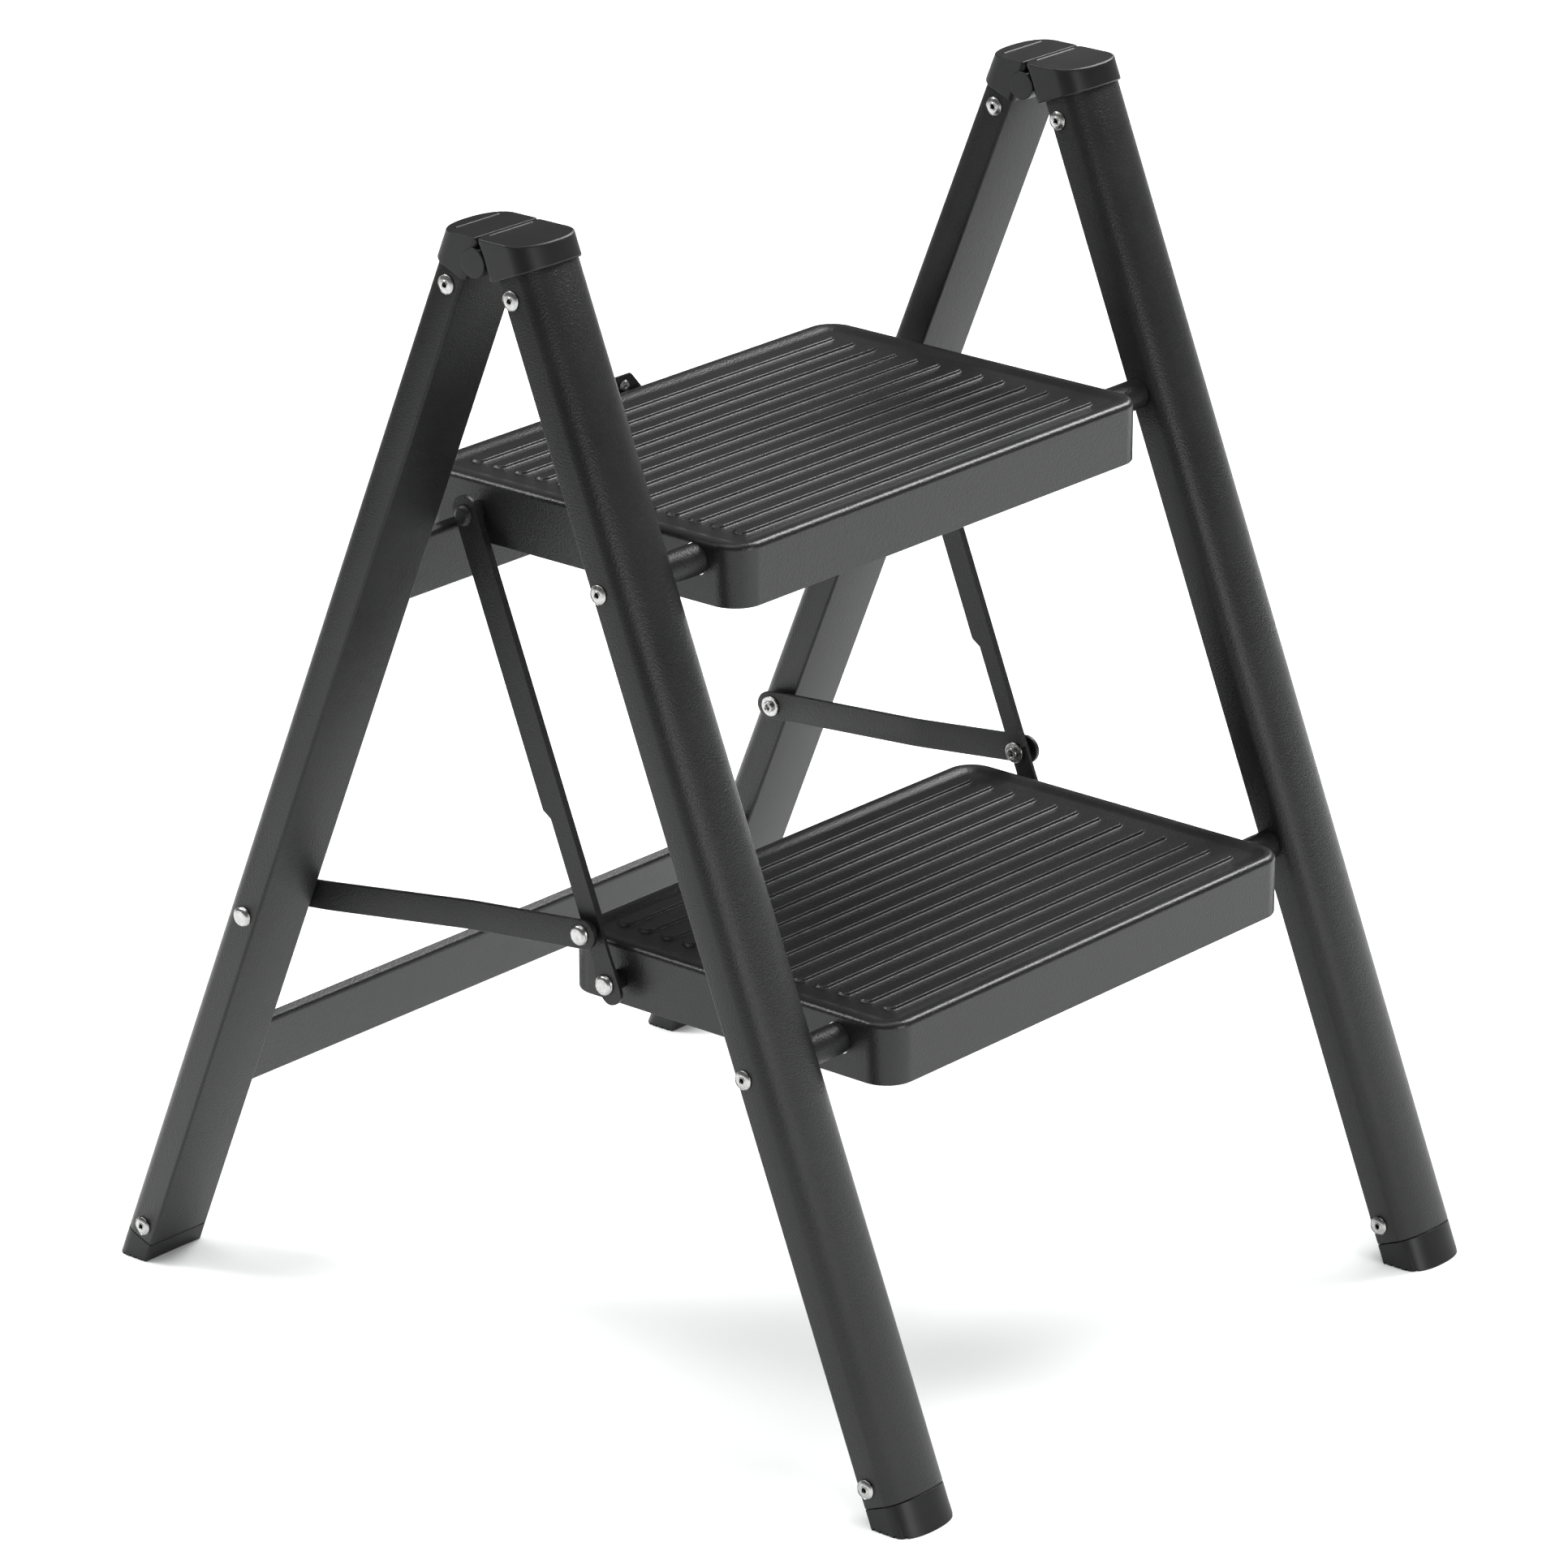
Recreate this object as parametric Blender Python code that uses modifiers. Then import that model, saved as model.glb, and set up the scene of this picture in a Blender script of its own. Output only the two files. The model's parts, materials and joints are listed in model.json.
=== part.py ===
# A folding two-step stool: a front and a rear leg frame hinged at the top, two step
# trays on the front frame, and on each side a long link and a short link that carry
# the trays up as the rear frame folds in.
# Metres, +Z up. X runs across the stool, the front faces -Y, and the origin is the
# bottom centre on the floor.

import math

import bmesh
import bpy
from mathutils import Matrix, Vector

# Driving dimensions
gap = 0.0003  # between pieces that touch
hinge_y, hinge_z = 0.0021, 0.5948
front_lean = math.radians(21.83)
rear_lean = math.radians(22.14)
half_span = 0.231  # stool centre to the outer face of a leg
top_z = 0.6077

leg_width, leg_depth, leg_wall, leg_corner = 0.042, 0.023, 0.0012, 0.0015
crown_rise, crown_power, crown_steps = 0.010, 2.3, 12  # a leg's rounded front, 2 being an ellipse
front_back, rear_back = 0.0109, 0.0035  # hinge axis to the flat face of a leg
front_tube, rear_tube = (0.0040, 0.6346), (0.0082, 0.6322)  # tube ends below the hinge

cap_grow, cap_seam, cap_plug = 0.0017, 0.0116, 0.032
front_cap_back, rear_cap_back = 0.0061, 0.0020
knuckle, knuckle_clearance, pin_radius = 0.0076, 0.0082, 0.0025
knuckle_split = 0.0102  # leg's outer face to the joint between two knuckles
front_ridge, rear_ridge, ridge_half = -0.0042, 0.0175, 0.014  # grip lines on the caps' tops
foot_plug, groove_pitch = 0.605, 0.0044

step_tube_radius, step_tube_offset = 0.008, 0.016
upper_tube_down, lower_tube_down = 0.1695, 0.4151  # along the front legs
step_width, step_depth, step_skirt, step_sheet = 0.3208, 0.213, 0.0325, 0.0012
step_corner, step_edge, step_recess = 0.016, 0.003, 0.0010
step_rim, step_slope = 0.005, 0.006
upper_rise, upper_inset = 0.0106, 0.0281  # tube axis to the tread and to the front edge
lower_rise, lower_inset = 0.0134, 0.0341
rib_count, rib_pitch, rib_width, rib_length = 13, 0.01445, 0.0085, 0.278
upper_rib_start, lower_rib_start = 0.0192, 0.0179

bar_height, bar_depth, bar_sheet, bar_offset = 0.042, 0.006, 0.0015, 0.0046
upper_bar_down, lower_bar_down = 0.179, 0.494

link_reach = (0.1432, -0.0060)  # a step tube's axis to its link rivet, across and up
pivot_up = 0.0284  # lower step's rivet to the short link's pivot, along the long link
rear_pivot = (0.4148, 0.0120)  # short link's pivot on a rear leg, down and out
link_face, link_sheet, link_flange = 0.060, 0.002, 0.002
short_near, short_far, short_sheet, short_width = 0.0448, 0.0533, 0.0025, 0.0154
step_face = half_span - step_width / 2  # leg's outer face to a tray's side

blind_shank, pivot_shank = 0.0024, 0.0027
lock_pin = (0.0080, -0.0140)  # behind the upper tray's rear face, below its tread


def clear_scene():
    for item in list(bpy.data.objects):
        bpy.data.objects.remove(item, do_unlink=True)


def new_collection(name):
    made = bpy.data.collections.new(name)
    bpy.context.scene.collection.children.link(made)
    return made


def new_material(name, color, roughness, metallic=0.0):
    made = bpy.data.materials.new(name)
    made.use_nodes = True
    shader = made.node_tree.nodes["Principled BSDF"]
    shader.inputs["Base Color"].default_value = (*color, 1.0)
    shader.inputs["Roughness"].default_value = roughness
    shader.inputs["Metallic"].default_value = metallic
    return made


clear_scene()
stool = new_collection("folding_step_stool")
cutters = new_collection("cutters")
powder_coat = new_material("powder_coat", (0.045, 0.045, 0.046), 0.45)
step_coat = new_material("step_coat", (0.040, 0.040, 0.041), 0.50)
molded_plastic = new_material("molded_plastic", (0.022, 0.022, 0.023), 0.60)
bright_metal = new_material("bright_metal", (0.75, 0.75, 0.74), 0.28, 1.0)
spring_steel = new_material("spring_steel", (0.45, 0.45, 0.46), 0.35, 1.0)


# Placing pieces

def pivot(name, y, z, turn=0.0, parent=None):
    made = bpy.data.objects.new(name, None)
    made.empty_display_size = 0.03
    made.location = (0.0, y, z)
    made.rotation_euler = (turn, 0.0, 0.0)
    made.parent = parent
    stool.objects.link(made)
    return made


def piece(name, mesh, parent, material):
    made = bpy.data.objects.new(name, mesh)
    mesh.name = name
    mesh.materials.append(material)
    made.parent = parent
    stool.objects.link(made)
    return made


def tool(name, mesh, parent):
    made = bpy.data.objects.new(name, mesh)
    mesh.name = name
    made.parent = parent
    made.hide_render = True
    made.display_type = "WIRE"
    cutters.objects.link(made)
    return made


def combine(target, operation, mesh, parent, label):
    other = tool(f"{target.name}_{label}", mesh, parent)
    modifier = target.modifiers.new(label, "BOOLEAN")
    modifier.operation = operation
    modifier.object = other
    modifier.solver = "EXACT"


def round_edges(target, width, segments, angle=40):
    modifier = target.modifiers.new("Bevel", "BEVEL")
    modifier.width = width
    modifier.segments = segments
    modifier.limit_method = "ANGLE"
    modifier.angle_limit = math.radians(angle)


# Shapes

def mesh_from(builder):
    mesh = bpy.data.meshes.new("shape")
    bmesh.ops.recalc_face_normals(builder, faces=builder.faces)
    builder.to_mesh(mesh)
    builder.free()
    return mesh


def smooth(mesh, angle=30):
    mesh.shade_smooth()
    mesh.set_sharp_from_angle(angle=math.radians(angle))
    return mesh


def box(*extents):
    # One or more boxes, each given as its (x, y, z) spans
    builder = bmesh.new()
    for spans in extents:
        middle = Vector([(low + high) / 2 for low, high in spans])
        size = Vector([abs(high - low) for low, high in spans])
        place = Matrix.Translation(middle) @ Matrix.Diagonal((*size, 1.0))
        bmesh.ops.create_cube(builder, size=1.0, matrix=place)
    return mesh_from(builder)


def rods(radius, spans, places, segments=12):
    # Cylinders along X, one for each span and place
    builder = bmesh.new()
    for start, end in spans:
        for y, z in places:
            place = Matrix.Translation(((start + end) / 2, y, z)) @ Matrix.Rotation(math.pi / 2, 4, "Y")
            bmesh.ops.create_cone(
                builder, cap_ends=True, segments=segments, radius1=radius, radius2=radius,
                depth=abs(end - start), matrix=place)
    return mesh_from(builder)


def rounded(corners, steps=3):
    # An outline through (u, v, radius) corners, each radius as an arc
    points = []
    for index, (u, v, radius) in enumerate(corners):
        here = Vector((u, v))
        if not radius:
            points.append(here)
            continue
        back = (Vector(corners[index - 1][:2]) - here).normalized()
        ahead = (Vector(corners[(index + 1) % len(corners)][:2]) - here).normalized()
        half = back.angle(ahead) / 2
        center = here + (back + ahead).normalized() * radius / math.sin(half)
        first = here + back * radius / math.tan(half) - center
        last = here + ahead * radius / math.tan(half) - center
        sweep = first.angle_signed(last)
        for step in range(steps + 1):
            points.append(center + Matrix.Rotation(-sweep * step / steps, 2) @ first)
    return points


def extruded(outlines, start, end, axis="Z"):
    # Filled outlines in (u, v), where one inside another is a hole. Along Z they lie in
    # (x, y); along X they lie in (y, z); along Y they lie in (x, z).
    curve = bpy.data.curves.new("outline", "CURVE")
    curve.dimensions = "2D"
    curve.fill_mode = "BOTH"
    curve.extrude = abs(end - start) / 2
    for outline in outlines:
        spline = curve.splines.new("POLY")
        spline.points.add(len(outline) - 1)
        for point, (u, v) in zip(spline.points, outline):
            point.co = (u, v, 0.0, 1.0)
        spline.use_cyclic_u = True
    holder = bpy.data.objects.new("outline", curve)
    cutters.objects.link(holder)
    graph = bpy.context.evaluated_depsgraph_get()
    mesh = bpy.data.meshes.new_from_object(holder.evaluated_get(graph))
    bpy.data.objects.remove(holder)
    turns = {
        "Z": Matrix(((1, 0, 0), (0, 1, 0), (0, 0, 1))),
        "X": Matrix(((0, 0, 1), (1, 0, 0), (0, 1, 0))),
        "Y": Matrix(((1, 0, 0), (0, 0, 1), (0, 1, 0))),
    }
    turn = turns[axis].to_4x4()
    middle = turn @ Vector((0.0, 0.0, (start + end) / 2))
    builder = bmesh.new()
    builder.from_mesh(mesh)
    bpy.data.meshes.remove(mesh)
    bmesh.ops.transform(builder, matrix=Matrix.Translation(middle) @ turn, verts=builder.verts)
    bmesh.ops.remove_doubles(builder, verts=builder.verts, dist=0.000001)
    bmesh.ops.dissolve_limit(
        builder, angle_limit=0.001, verts=builder.verts, edges=builder.edges)
    return mesh_from(builder)


def turned(name, profile, parent, side, y, z, material, steps=10):
    # A profile of (radius, distance outward from the leg's outer face), turned about X
    mesh = bpy.data.meshes.new(name)
    edges = [(index, index + 1) for index in range(len(profile) - 1)]
    mesh.from_pydata([(radius, 0.0, along) for radius, along in profile], edges, [])
    made = piece(name, mesh, parent, material)
    made.location = (side * half_span, y, z)
    made.rotation_euler = (0.0, side * math.pi / 2, 0.0)
    screw = made.modifiers.new("Screw", "SCREW")
    screw.steps = steps
    screw.render_steps = steps
    screw.use_merge_vertices = True
    screw.merge_threshold = 0.00001
    screw.use_smooth_shade = True
    return made


def leg_outline(grow, outward, back, back_shift=0.0):
    # A leg's D section: a flat back, straight sides and a superelliptic crown
    half = leg_width / 2 + grow
    corner = max(leg_corner + grow, 0.0006)
    flat = back - grow if not back_shift else back_shift
    side = back + leg_depth - crown_rise
    points = [(point.x, point.y) for point in rounded([
        (half, side, 0), (-half, side, 0), (-half, flat, corner), (half, flat, corner)])]
    points = points[2:]
    for step in range(crown_steps + 1):
        angle = math.pi * step / crown_steps
        across = abs(math.cos(angle)) ** (2 / crown_power)
        up = math.sin(angle) ** (2 / crown_power) if 0 < step < crown_steps else 0.0
        points.append((math.copysign(half * across, math.cos(angle)), side + (crown_rise + grow) * up))
    return [(x, outward * y) for x, y in points]


def side_x(side, *distances):
    # Distances inward from the outer face of the leg on this side, as X values
    return tuple(side * (half_span - distance) for distance in distances)


# Rivet ends: each list runs from the axis outward, down to the face that it sits on

def blind_head():
    return [(0.0, 0.0005), (0.0013, 0.0005), (0.0013, 0.0016), (0.0021, 0.0019),
            (0.0037, 0.0014), (0.0050, 0.0005), (0.0050, 0.0)]


def solid_head():
    return [(0.0, 0.0024), (0.0036, 0.0024), (0.0050, 0.0016), (0.0055, 0.0006), (0.0055, 0.0)]


def rolled_tail():
    return [(0.0, 0.0016), (0.0015, 0.0016), (0.0016, 0.0029), (0.0021, 0.0033),
            (0.0028, 0.0032), (0.0031, 0.0027), (0.0031, 0.0012), (0.0057, 0.0012), (0.0057, 0.0)]


def between(outer, outer_face, inner, inner_face, shank):
    # Outer end on one face, inner end on a face further in, and the shank between them
    top = [(radius, gap - outer_face + rise) for radius, rise in outer]
    bottom = [(radius, -gap - inner_face - rise) for radius, rise in reversed(inner)]
    return top + [(shank, top[-1][1]), (shank, bottom[0][1])] + bottom


# Frames and pivots

front_frame = pivot("front_frame", hinge_y, hinge_z, -front_lean)
rear_frame = pivot("rear_frame", hinge_y, hinge_z, rear_lean)


def on_front_leg(down, out):
    y = hinge_y - down * math.sin(front_lean) - out * math.cos(front_lean)
    z = hinge_z - down * math.cos(front_lean) + out * math.sin(front_lean)
    return y, z


def on_rear_leg(down, out):
    y = hinge_y + down * math.sin(rear_lean) + out * math.cos(rear_lean)
    z = hinge_z - down * math.cos(rear_lean) + out * math.sin(rear_lean)
    return y, z


upper_axis = on_front_leg(upper_tube_down, step_tube_offset)
lower_axis = on_front_leg(lower_tube_down, step_tube_offset)
upper_rivet = (upper_axis[0] + link_reach[0], upper_axis[1] + link_reach[1])
lower_rivet = (lower_axis[0] + link_reach[0], lower_axis[1] + link_reach[1])
shared_pivot = (
    lower_rivet[0] + pivot_up * math.sin(front_lean),
    lower_rivet[1] + pivot_up * math.cos(front_lean),
)
rear_rivet = on_rear_leg(*rear_pivot)
link_length = math.dist(upper_rivet, lower_rivet)
short_length = math.dist(rear_rivet, shared_pivot)
short_turn = math.atan2(shared_pivot[1] - rear_rivet[1], shared_pivot[0] - rear_rivet[0]) - math.pi / 2

upper_step = pivot("upper_step", *upper_axis)
lower_step = pivot("lower_step", *lower_axis)

leg_sets = (
    ("front", front_frame, -1, front_back, front_tube, front_cap_back),
    ("rear", rear_frame, 1, rear_back, rear_tube, rear_cap_back),
)
cap_rivet = {"front": (0.0223, 0.0161), "rear": (0.0206, 0.0120)}
foot_rivet = {"front": (0.6247, 0.0161), "rear": (0.6247, 0.0121)}
sides = (("left", -1), ("right", 1))


def leg_holes(kind, outward):
    # The rivet holes in one leg as frame (y, z) places, for each shank radius
    blind = [cap_rivet[kind], foot_rivet[kind]]
    if kind == "front":
        blind += [(upper_tube_down, step_tube_offset), (lower_tube_down, step_tube_offset)]
        pivots = []
    else:
        pivots = [rear_pivot]
    return (
        [(outward * out, -down) for down, out in blind],
        [(outward * out, -down) for down, out in pivots],
    )


def make_leg(kind, frame, outward, back, tube, word, side):
    middle = side * (half_span - leg_width / 2)
    outer = [(x + middle, y) for x, y in leg_outline(0.0, outward, back)]
    inner = [(x + middle, y) for x, y in leg_outline(-leg_wall, outward, back)]
    mesh = smooth(extruded([outer, inner], -tube[1], -tube[0]))
    leg = piece(f"leg_{kind}_{word}", mesh, frame, powder_coat)
    span = side_x(side, -0.002, leg_width + 0.002)
    blind, pivots = leg_holes(kind, outward)
    combine(leg, "DIFFERENCE", rods(blind_shank + gap, [span], blind, 8), frame, "rivet_holes")
    if pivots:
        combine(leg, "DIFFERENCE", rods(pivot_shank + gap, [span], pivots, 8), frame, "pivot_hole")


def plug_mesh(outward, back, middle, start, end):
    outline = [(x + middle, y) for x, y in leg_outline(-leg_wall - gap, outward, back)]
    return extruded([outline], -end, -start)


def make_cap(kind, frame, outward, back, tube, cap_back, word, side):
    middle = side * (half_span - leg_width / 2)
    outline = [(x + middle, y) for x, y in leg_outline(cap_grow, outward, back, cap_back)]
    name = f"cap_{kind}_{word}"
    cap = piece(name, smooth(extruded([outline], -cap_seam, 0.034)), frame, molded_plastic)
    above = box(((middle - 0.03, middle + 0.03), (-0.06, 0.06), (top_z, top_z + 0.05)))
    combine(cap, "DIFFERENCE", above, None, "top_plane")
    if kind == "rear":
        split = box(((middle - 0.03, middle + 0.03), (-0.05, -front_cap_back + 0.0004), (-0.02, 0.05)))
        combine(cap, "DIFFERENCE", split, front_frame, "split_plane")
    round_edges(cap, 0.0012, 2)
    pocket = [(x + middle, y) for x, y in leg_outline(gap, outward, back)]
    combine(cap, "DIFFERENCE", extruded([pocket], -0.02, gap - tube[0]), frame, "tube_pocket")
    plug = plug_mesh(outward, back, middle, tube[0] - 0.0015, cap_plug)
    combine(cap, "UNION", plug, frame, "plug")

    outer_ends = [(-cap_grow, knuckle_split), (leg_width - knuckle_split, leg_width + cap_grow)]
    if kind == "front":
        cleared = [(-0.004, knuckle_split + gap), (leg_width - knuckle_split - gap, leg_width + 0.004)]
        kept = [(knuckle_split + gap, leg_width - knuckle_split - gap)]
        bore = (0.0, leg_width)
    else:
        cleared = [(knuckle_split, leg_width - knuckle_split)]
        kept = outer_ends
        bore = (0.0015, leg_width - 0.0015)
    place = [(0.0, 0.0)]
    clear_spans = [side_x(side, *ends) for ends in cleared]
    kept_spans = [side_x(side, *ends) for ends in kept]
    if kind == "front":
        combine(cap, "DIFFERENCE", rods(knuckle_clearance, clear_spans, place, 20), frame, "knuckle_room")
        combine(cap, "UNION", rods(knuckle, kept_spans, place, 20), frame, "knuckle")
    else:
        combine(cap, "UNION", rods(knuckle, kept_spans, place, 20), frame, "knuckle")
        combine(cap, "DIFFERENCE", rods(knuckle_clearance, clear_spans, place, 20), frame, "knuckle_room")
    combine(cap, "DIFFERENCE", rods(pin_radius + gap, [side_x(side, *bore)], place), frame, "pin_bore")
    down, out = cap_rivet[kind]
    span = side_x(side, -0.004, leg_width + 0.004)
    hole = rods(blind_shank + gap, [span], [(outward * out, -down)], 8)
    combine(cap, "DIFFERENCE", hole, frame, "rivet_hole")
    ridge_y = hinge_y + (front_ridge if kind == "front" else rear_ridge)
    ridge_x = (middle - ridge_half, middle + ridge_half)
    ridge = box((ridge_x, (ridge_y - 0.0006, ridge_y + 0.0006), (top_z - 0.001, top_z + 0.0004)))
    combine(cap, "UNION", ridge, None, "ridge")


def make_foot(kind, frame, outward, back, tube, word, side):
    middle = side * (half_span - leg_width / 2)
    outline = [(x + middle, y) for x, y in leg_outline(0.0, outward, back)]
    foot = piece(
        f"foot_{kind}_{word}", smooth(extruded([outline], -0.68, -tube[1] - gap)), frame, molded_plastic)
    on_leg = on_front_leg if kind == "front" else on_rear_leg
    sole_y = on_leg(tube[1] + 0.012, back + leg_depth / 2)[0]
    below = box(((middle - 0.03, middle + 0.03), (sole_y - 0.06, sole_y + 0.06), (-0.05, 0.0)))
    combine(foot, "DIFFERENCE", below, None, "floor")
    across = (middle - 0.03, middle + 0.03)
    grooves = []
    for step in range(-2, 3):
        y = sole_y + step * groove_pitch
        grooves.append((across, (y - 0.0008, y + 0.0008), (-0.002, 0.0012)))
    combine(foot, "DIFFERENCE", box(*grooves), None, "grooves")
    combine(foot, "UNION", plug_mesh(outward, back, middle, foot_plug, tube[1] + 0.0015), frame, "plug")
    down, out = foot_rivet[kind]
    span = side_x(side, -0.004, leg_width + 0.004)
    hole = rods(blind_shank + gap, [span], [(outward * out, -down)], 8)
    combine(foot, "DIFFERENCE", hole, frame, "rivet_hole")


def make_leg_rivets(kind, frame, outward, word, side):
    through = between(blind_head(), 0.0, blind_head(), leg_width, blind_shank)
    for label, (down, out) in (("cap", cap_rivet[kind]), ("foot", foot_rivet[kind])):
        turned(f"{label}_rivet_{kind}_{word}", through, frame, side, outward * out, -down, bright_metal)


for kind, frame, outward, back, tube, cap_back in leg_sets:
    for word, side in sides:
        make_leg(kind, frame, outward, back, tube, word, side)
        make_cap(kind, frame, outward, back, tube, cap_back, word, side)
        make_foot(kind, frame, outward, back, tube, word, side)
        make_leg_rivets(kind, frame, outward, word, side)


# Hinge pins, hidden in the caps

for word, side in sides:
    pin = rods(pin_radius, [side_x(side, 0.0020, leg_width - 0.0020)], [(0.0, 0.0)])
    piece(f"hinge_pin_{word}", smooth(pin), rear_frame, bright_metal)


# Step tubes, each held by a blind rivet through either leg into its necked end

def make_step_tube(level, down):
    half = half_span - leg_width - gap
    neck, bore = blind_shank + gap, step_tube_radius - 0.0012
    profile = [
        (step_tube_radius, half), (step_tube_radius, -half), (neck, -half), (neck, -half + 0.002),
        (bore, -half + 0.004), (bore, half - 0.004), (neck, half - 0.002), (neck, half),
        (step_tube_radius, half)]
    y, z = -step_tube_offset, -down
    tube = turned(f"step_tube_{level}", profile, front_frame, 1, y, z, powder_coat, 16)
    tube.location.x = 0.0
    tail = [(0.0, 0.0005), (0.0016, 0.0005), (0.0023, 0.0)]
    rivet = between(blind_head(), 0.0, tail, leg_width + 0.008, blind_shank)
    for word, side in sides:
        turned(f"tube_rivet_{level}_{word}", rivet, front_frame, side, y, z, bright_metal)


make_step_tube("upper", upper_tube_down)
make_step_tube("lower", lower_tube_down)


# Cross bars of the rear frame: shallow channels, open to the rear

def make_bar(level, down):
    low, high = -down - bar_height, -down
    near, far, sheet = bar_offset, bar_offset + bar_depth, bar_sheet
    outline = rounded([
        (near, high, 0.0025), (far, high, 0), (far, high - sheet, 0), (near + sheet, high - sheet, 0.0010),
        (near + sheet, low + sheet, 0.0010), (far, low + sheet, 0), (far, low, 0), (near, low, 0.0025)])
    half = half_span - leg_width - gap
    piece(f"cross_bar_{level}", smooth(extruded([outline], -half, half, "X")), rear_frame, powder_coat)


make_bar("upper", upper_bar_down)
make_bar("lower", lower_bar_down)


# Step trays: pressed sheet with a rim, a sunken tread and raised ribs

def upright_edges(builder, least):
    return [edge for edge in builder.edges if abs(edge.verts[0].co.z - edge.verts[1].co.z) > least]


def tray_mesh(rise, inset):
    builder = bmesh.new()
    middle = Vector((0.0, step_depth / 2 - inset, rise - step_skirt / 2))
    size = (step_width, step_depth, step_skirt, 1.0)
    bmesh.ops.create_cube(builder, size=1.0, matrix=Matrix.Translation(middle) @ Matrix.Diagonal(size))
    bottom = min(builder.faces, key=lambda face: face.calc_center_median().z)
    bmesh.ops.delete(builder, geom=[bottom], context="FACES_ONLY")
    upright = upright_edges(builder, step_skirt / 2)
    bmesh.ops.bevel(builder, geom=upright, offset=step_corner, segments=4, profile=0.5, affect="EDGES")
    top = max(builder.faces, key=lambda face: face.calc_center_median().z)
    bmesh.ops.bevel(
        builder, geom=list(top.edges), offset=step_edge, segments=3, profile=0.5, affect="EDGES")
    top = max(builder.faces, key=lambda face: face.calc_center_median().z)
    bmesh.ops.inset_region(builder, faces=[top], thickness=step_rim, use_even_offset=True)
    bmesh.ops.inset_region(
        builder, faces=[top], thickness=step_slope, depth=-step_recess, use_even_offset=True)
    mesh = bpy.data.meshes.new("tray")
    builder.to_mesh(mesh)
    builder.free()
    return smooth(mesh, 50)


def ribs_mesh(rise, inset, start):
    floor = rise - step_recess
    builder = bmesh.new()
    for index in range(rib_count):
        y = step_depth - inset - start - index * rib_pitch
        place = Matrix.Translation((0.0, y, floor + 0.0002))
        size = (rib_length, rib_width, 0.0016, 1.0)
        bmesh.ops.create_cube(builder, size=1.0, matrix=place @ Matrix.Diagonal(size))
    upright = upright_edges(builder, 0.001)
    bmesh.ops.bevel(
        builder, geom=upright, offset=rib_width * 0.48, segments=2, profile=0.5, affect="EDGES")
    tops = [face for face in builder.faces if face.normal.z > 0.9]
    rims = list({edge for face in tops for edge in face.edges})
    bmesh.ops.bevel(builder, geom=rims, offset=0.0007, segments=1, profile=0.5, affect="EDGES")
    return mesh_from(builder)


def make_tray(level, parent, rise, inset, rib_start):
    tray = piece(f"tray_{level}", tray_mesh(rise, inset), parent, step_coat)
    solidify = tray.modifiers.new("Solidify", "SOLIDIFY")
    solidify.thickness = step_sheet
    solidify.offset = -1.0
    solidify.use_even_offset = True
    combine(tray, "UNION", ribs_mesh(rise, inset, rib_start), parent, "ribs")
    skirt_spans = [side_x(side, step_face - 0.004, step_face + 0.006) for word, side in sides]
    holes = rods(step_tube_radius + gap, skirt_spans, [(0.0, 0.0)], 16)
    combine(tray, "DIFFERENCE", holes, parent, "tube_holes")
    rivets = rods(pivot_shank + gap, skirt_spans, [link_reach], 10)
    combine(tray, "DIFFERENCE", rivets, parent, "link_rivet_holes")
    return tray


upper_tray = make_tray("upper", upper_step, upper_rise, upper_inset, upper_rib_start)
make_tray("lower", lower_step, lower_rise, lower_inset, lower_rib_start)

# The upper tray's skirts straddle the upper cross bar and rest on it
bar_front = on_rear_leg(upper_bar_down, bar_offset)
bar_rear = on_rear_leg(upper_bar_down, bar_offset + bar_depth)
notch_top = bar_rear[1] + gap - upper_axis[1]
notch_low = upper_rise - step_skirt - 0.002
notch_depth = notch_top - notch_low
notch_front = bar_front[0] - 0.0020 - upper_axis[0]
notch_rear = bar_rear[0] + 0.0030 - upper_axis[0]
notch = [
    (notch_front, notch_top), (notch_rear, notch_top),
    (notch_rear + notch_depth * math.tan(math.radians(30)), notch_low),
    (notch_front - notch_depth * math.tan(math.radians(38)), notch_low)]
for word, side in sides:
    span = side_x(side, step_face - 0.004, step_face + 0.006)
    cut = extruded([notch], *sorted(span), "X")
    combine(upper_tray, "DIFFERENCE", cut, upper_step, f"bar_notch_{word}")


# Links. The long link hangs on the tray rivets; the short link joins it to the rear leg.

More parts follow.
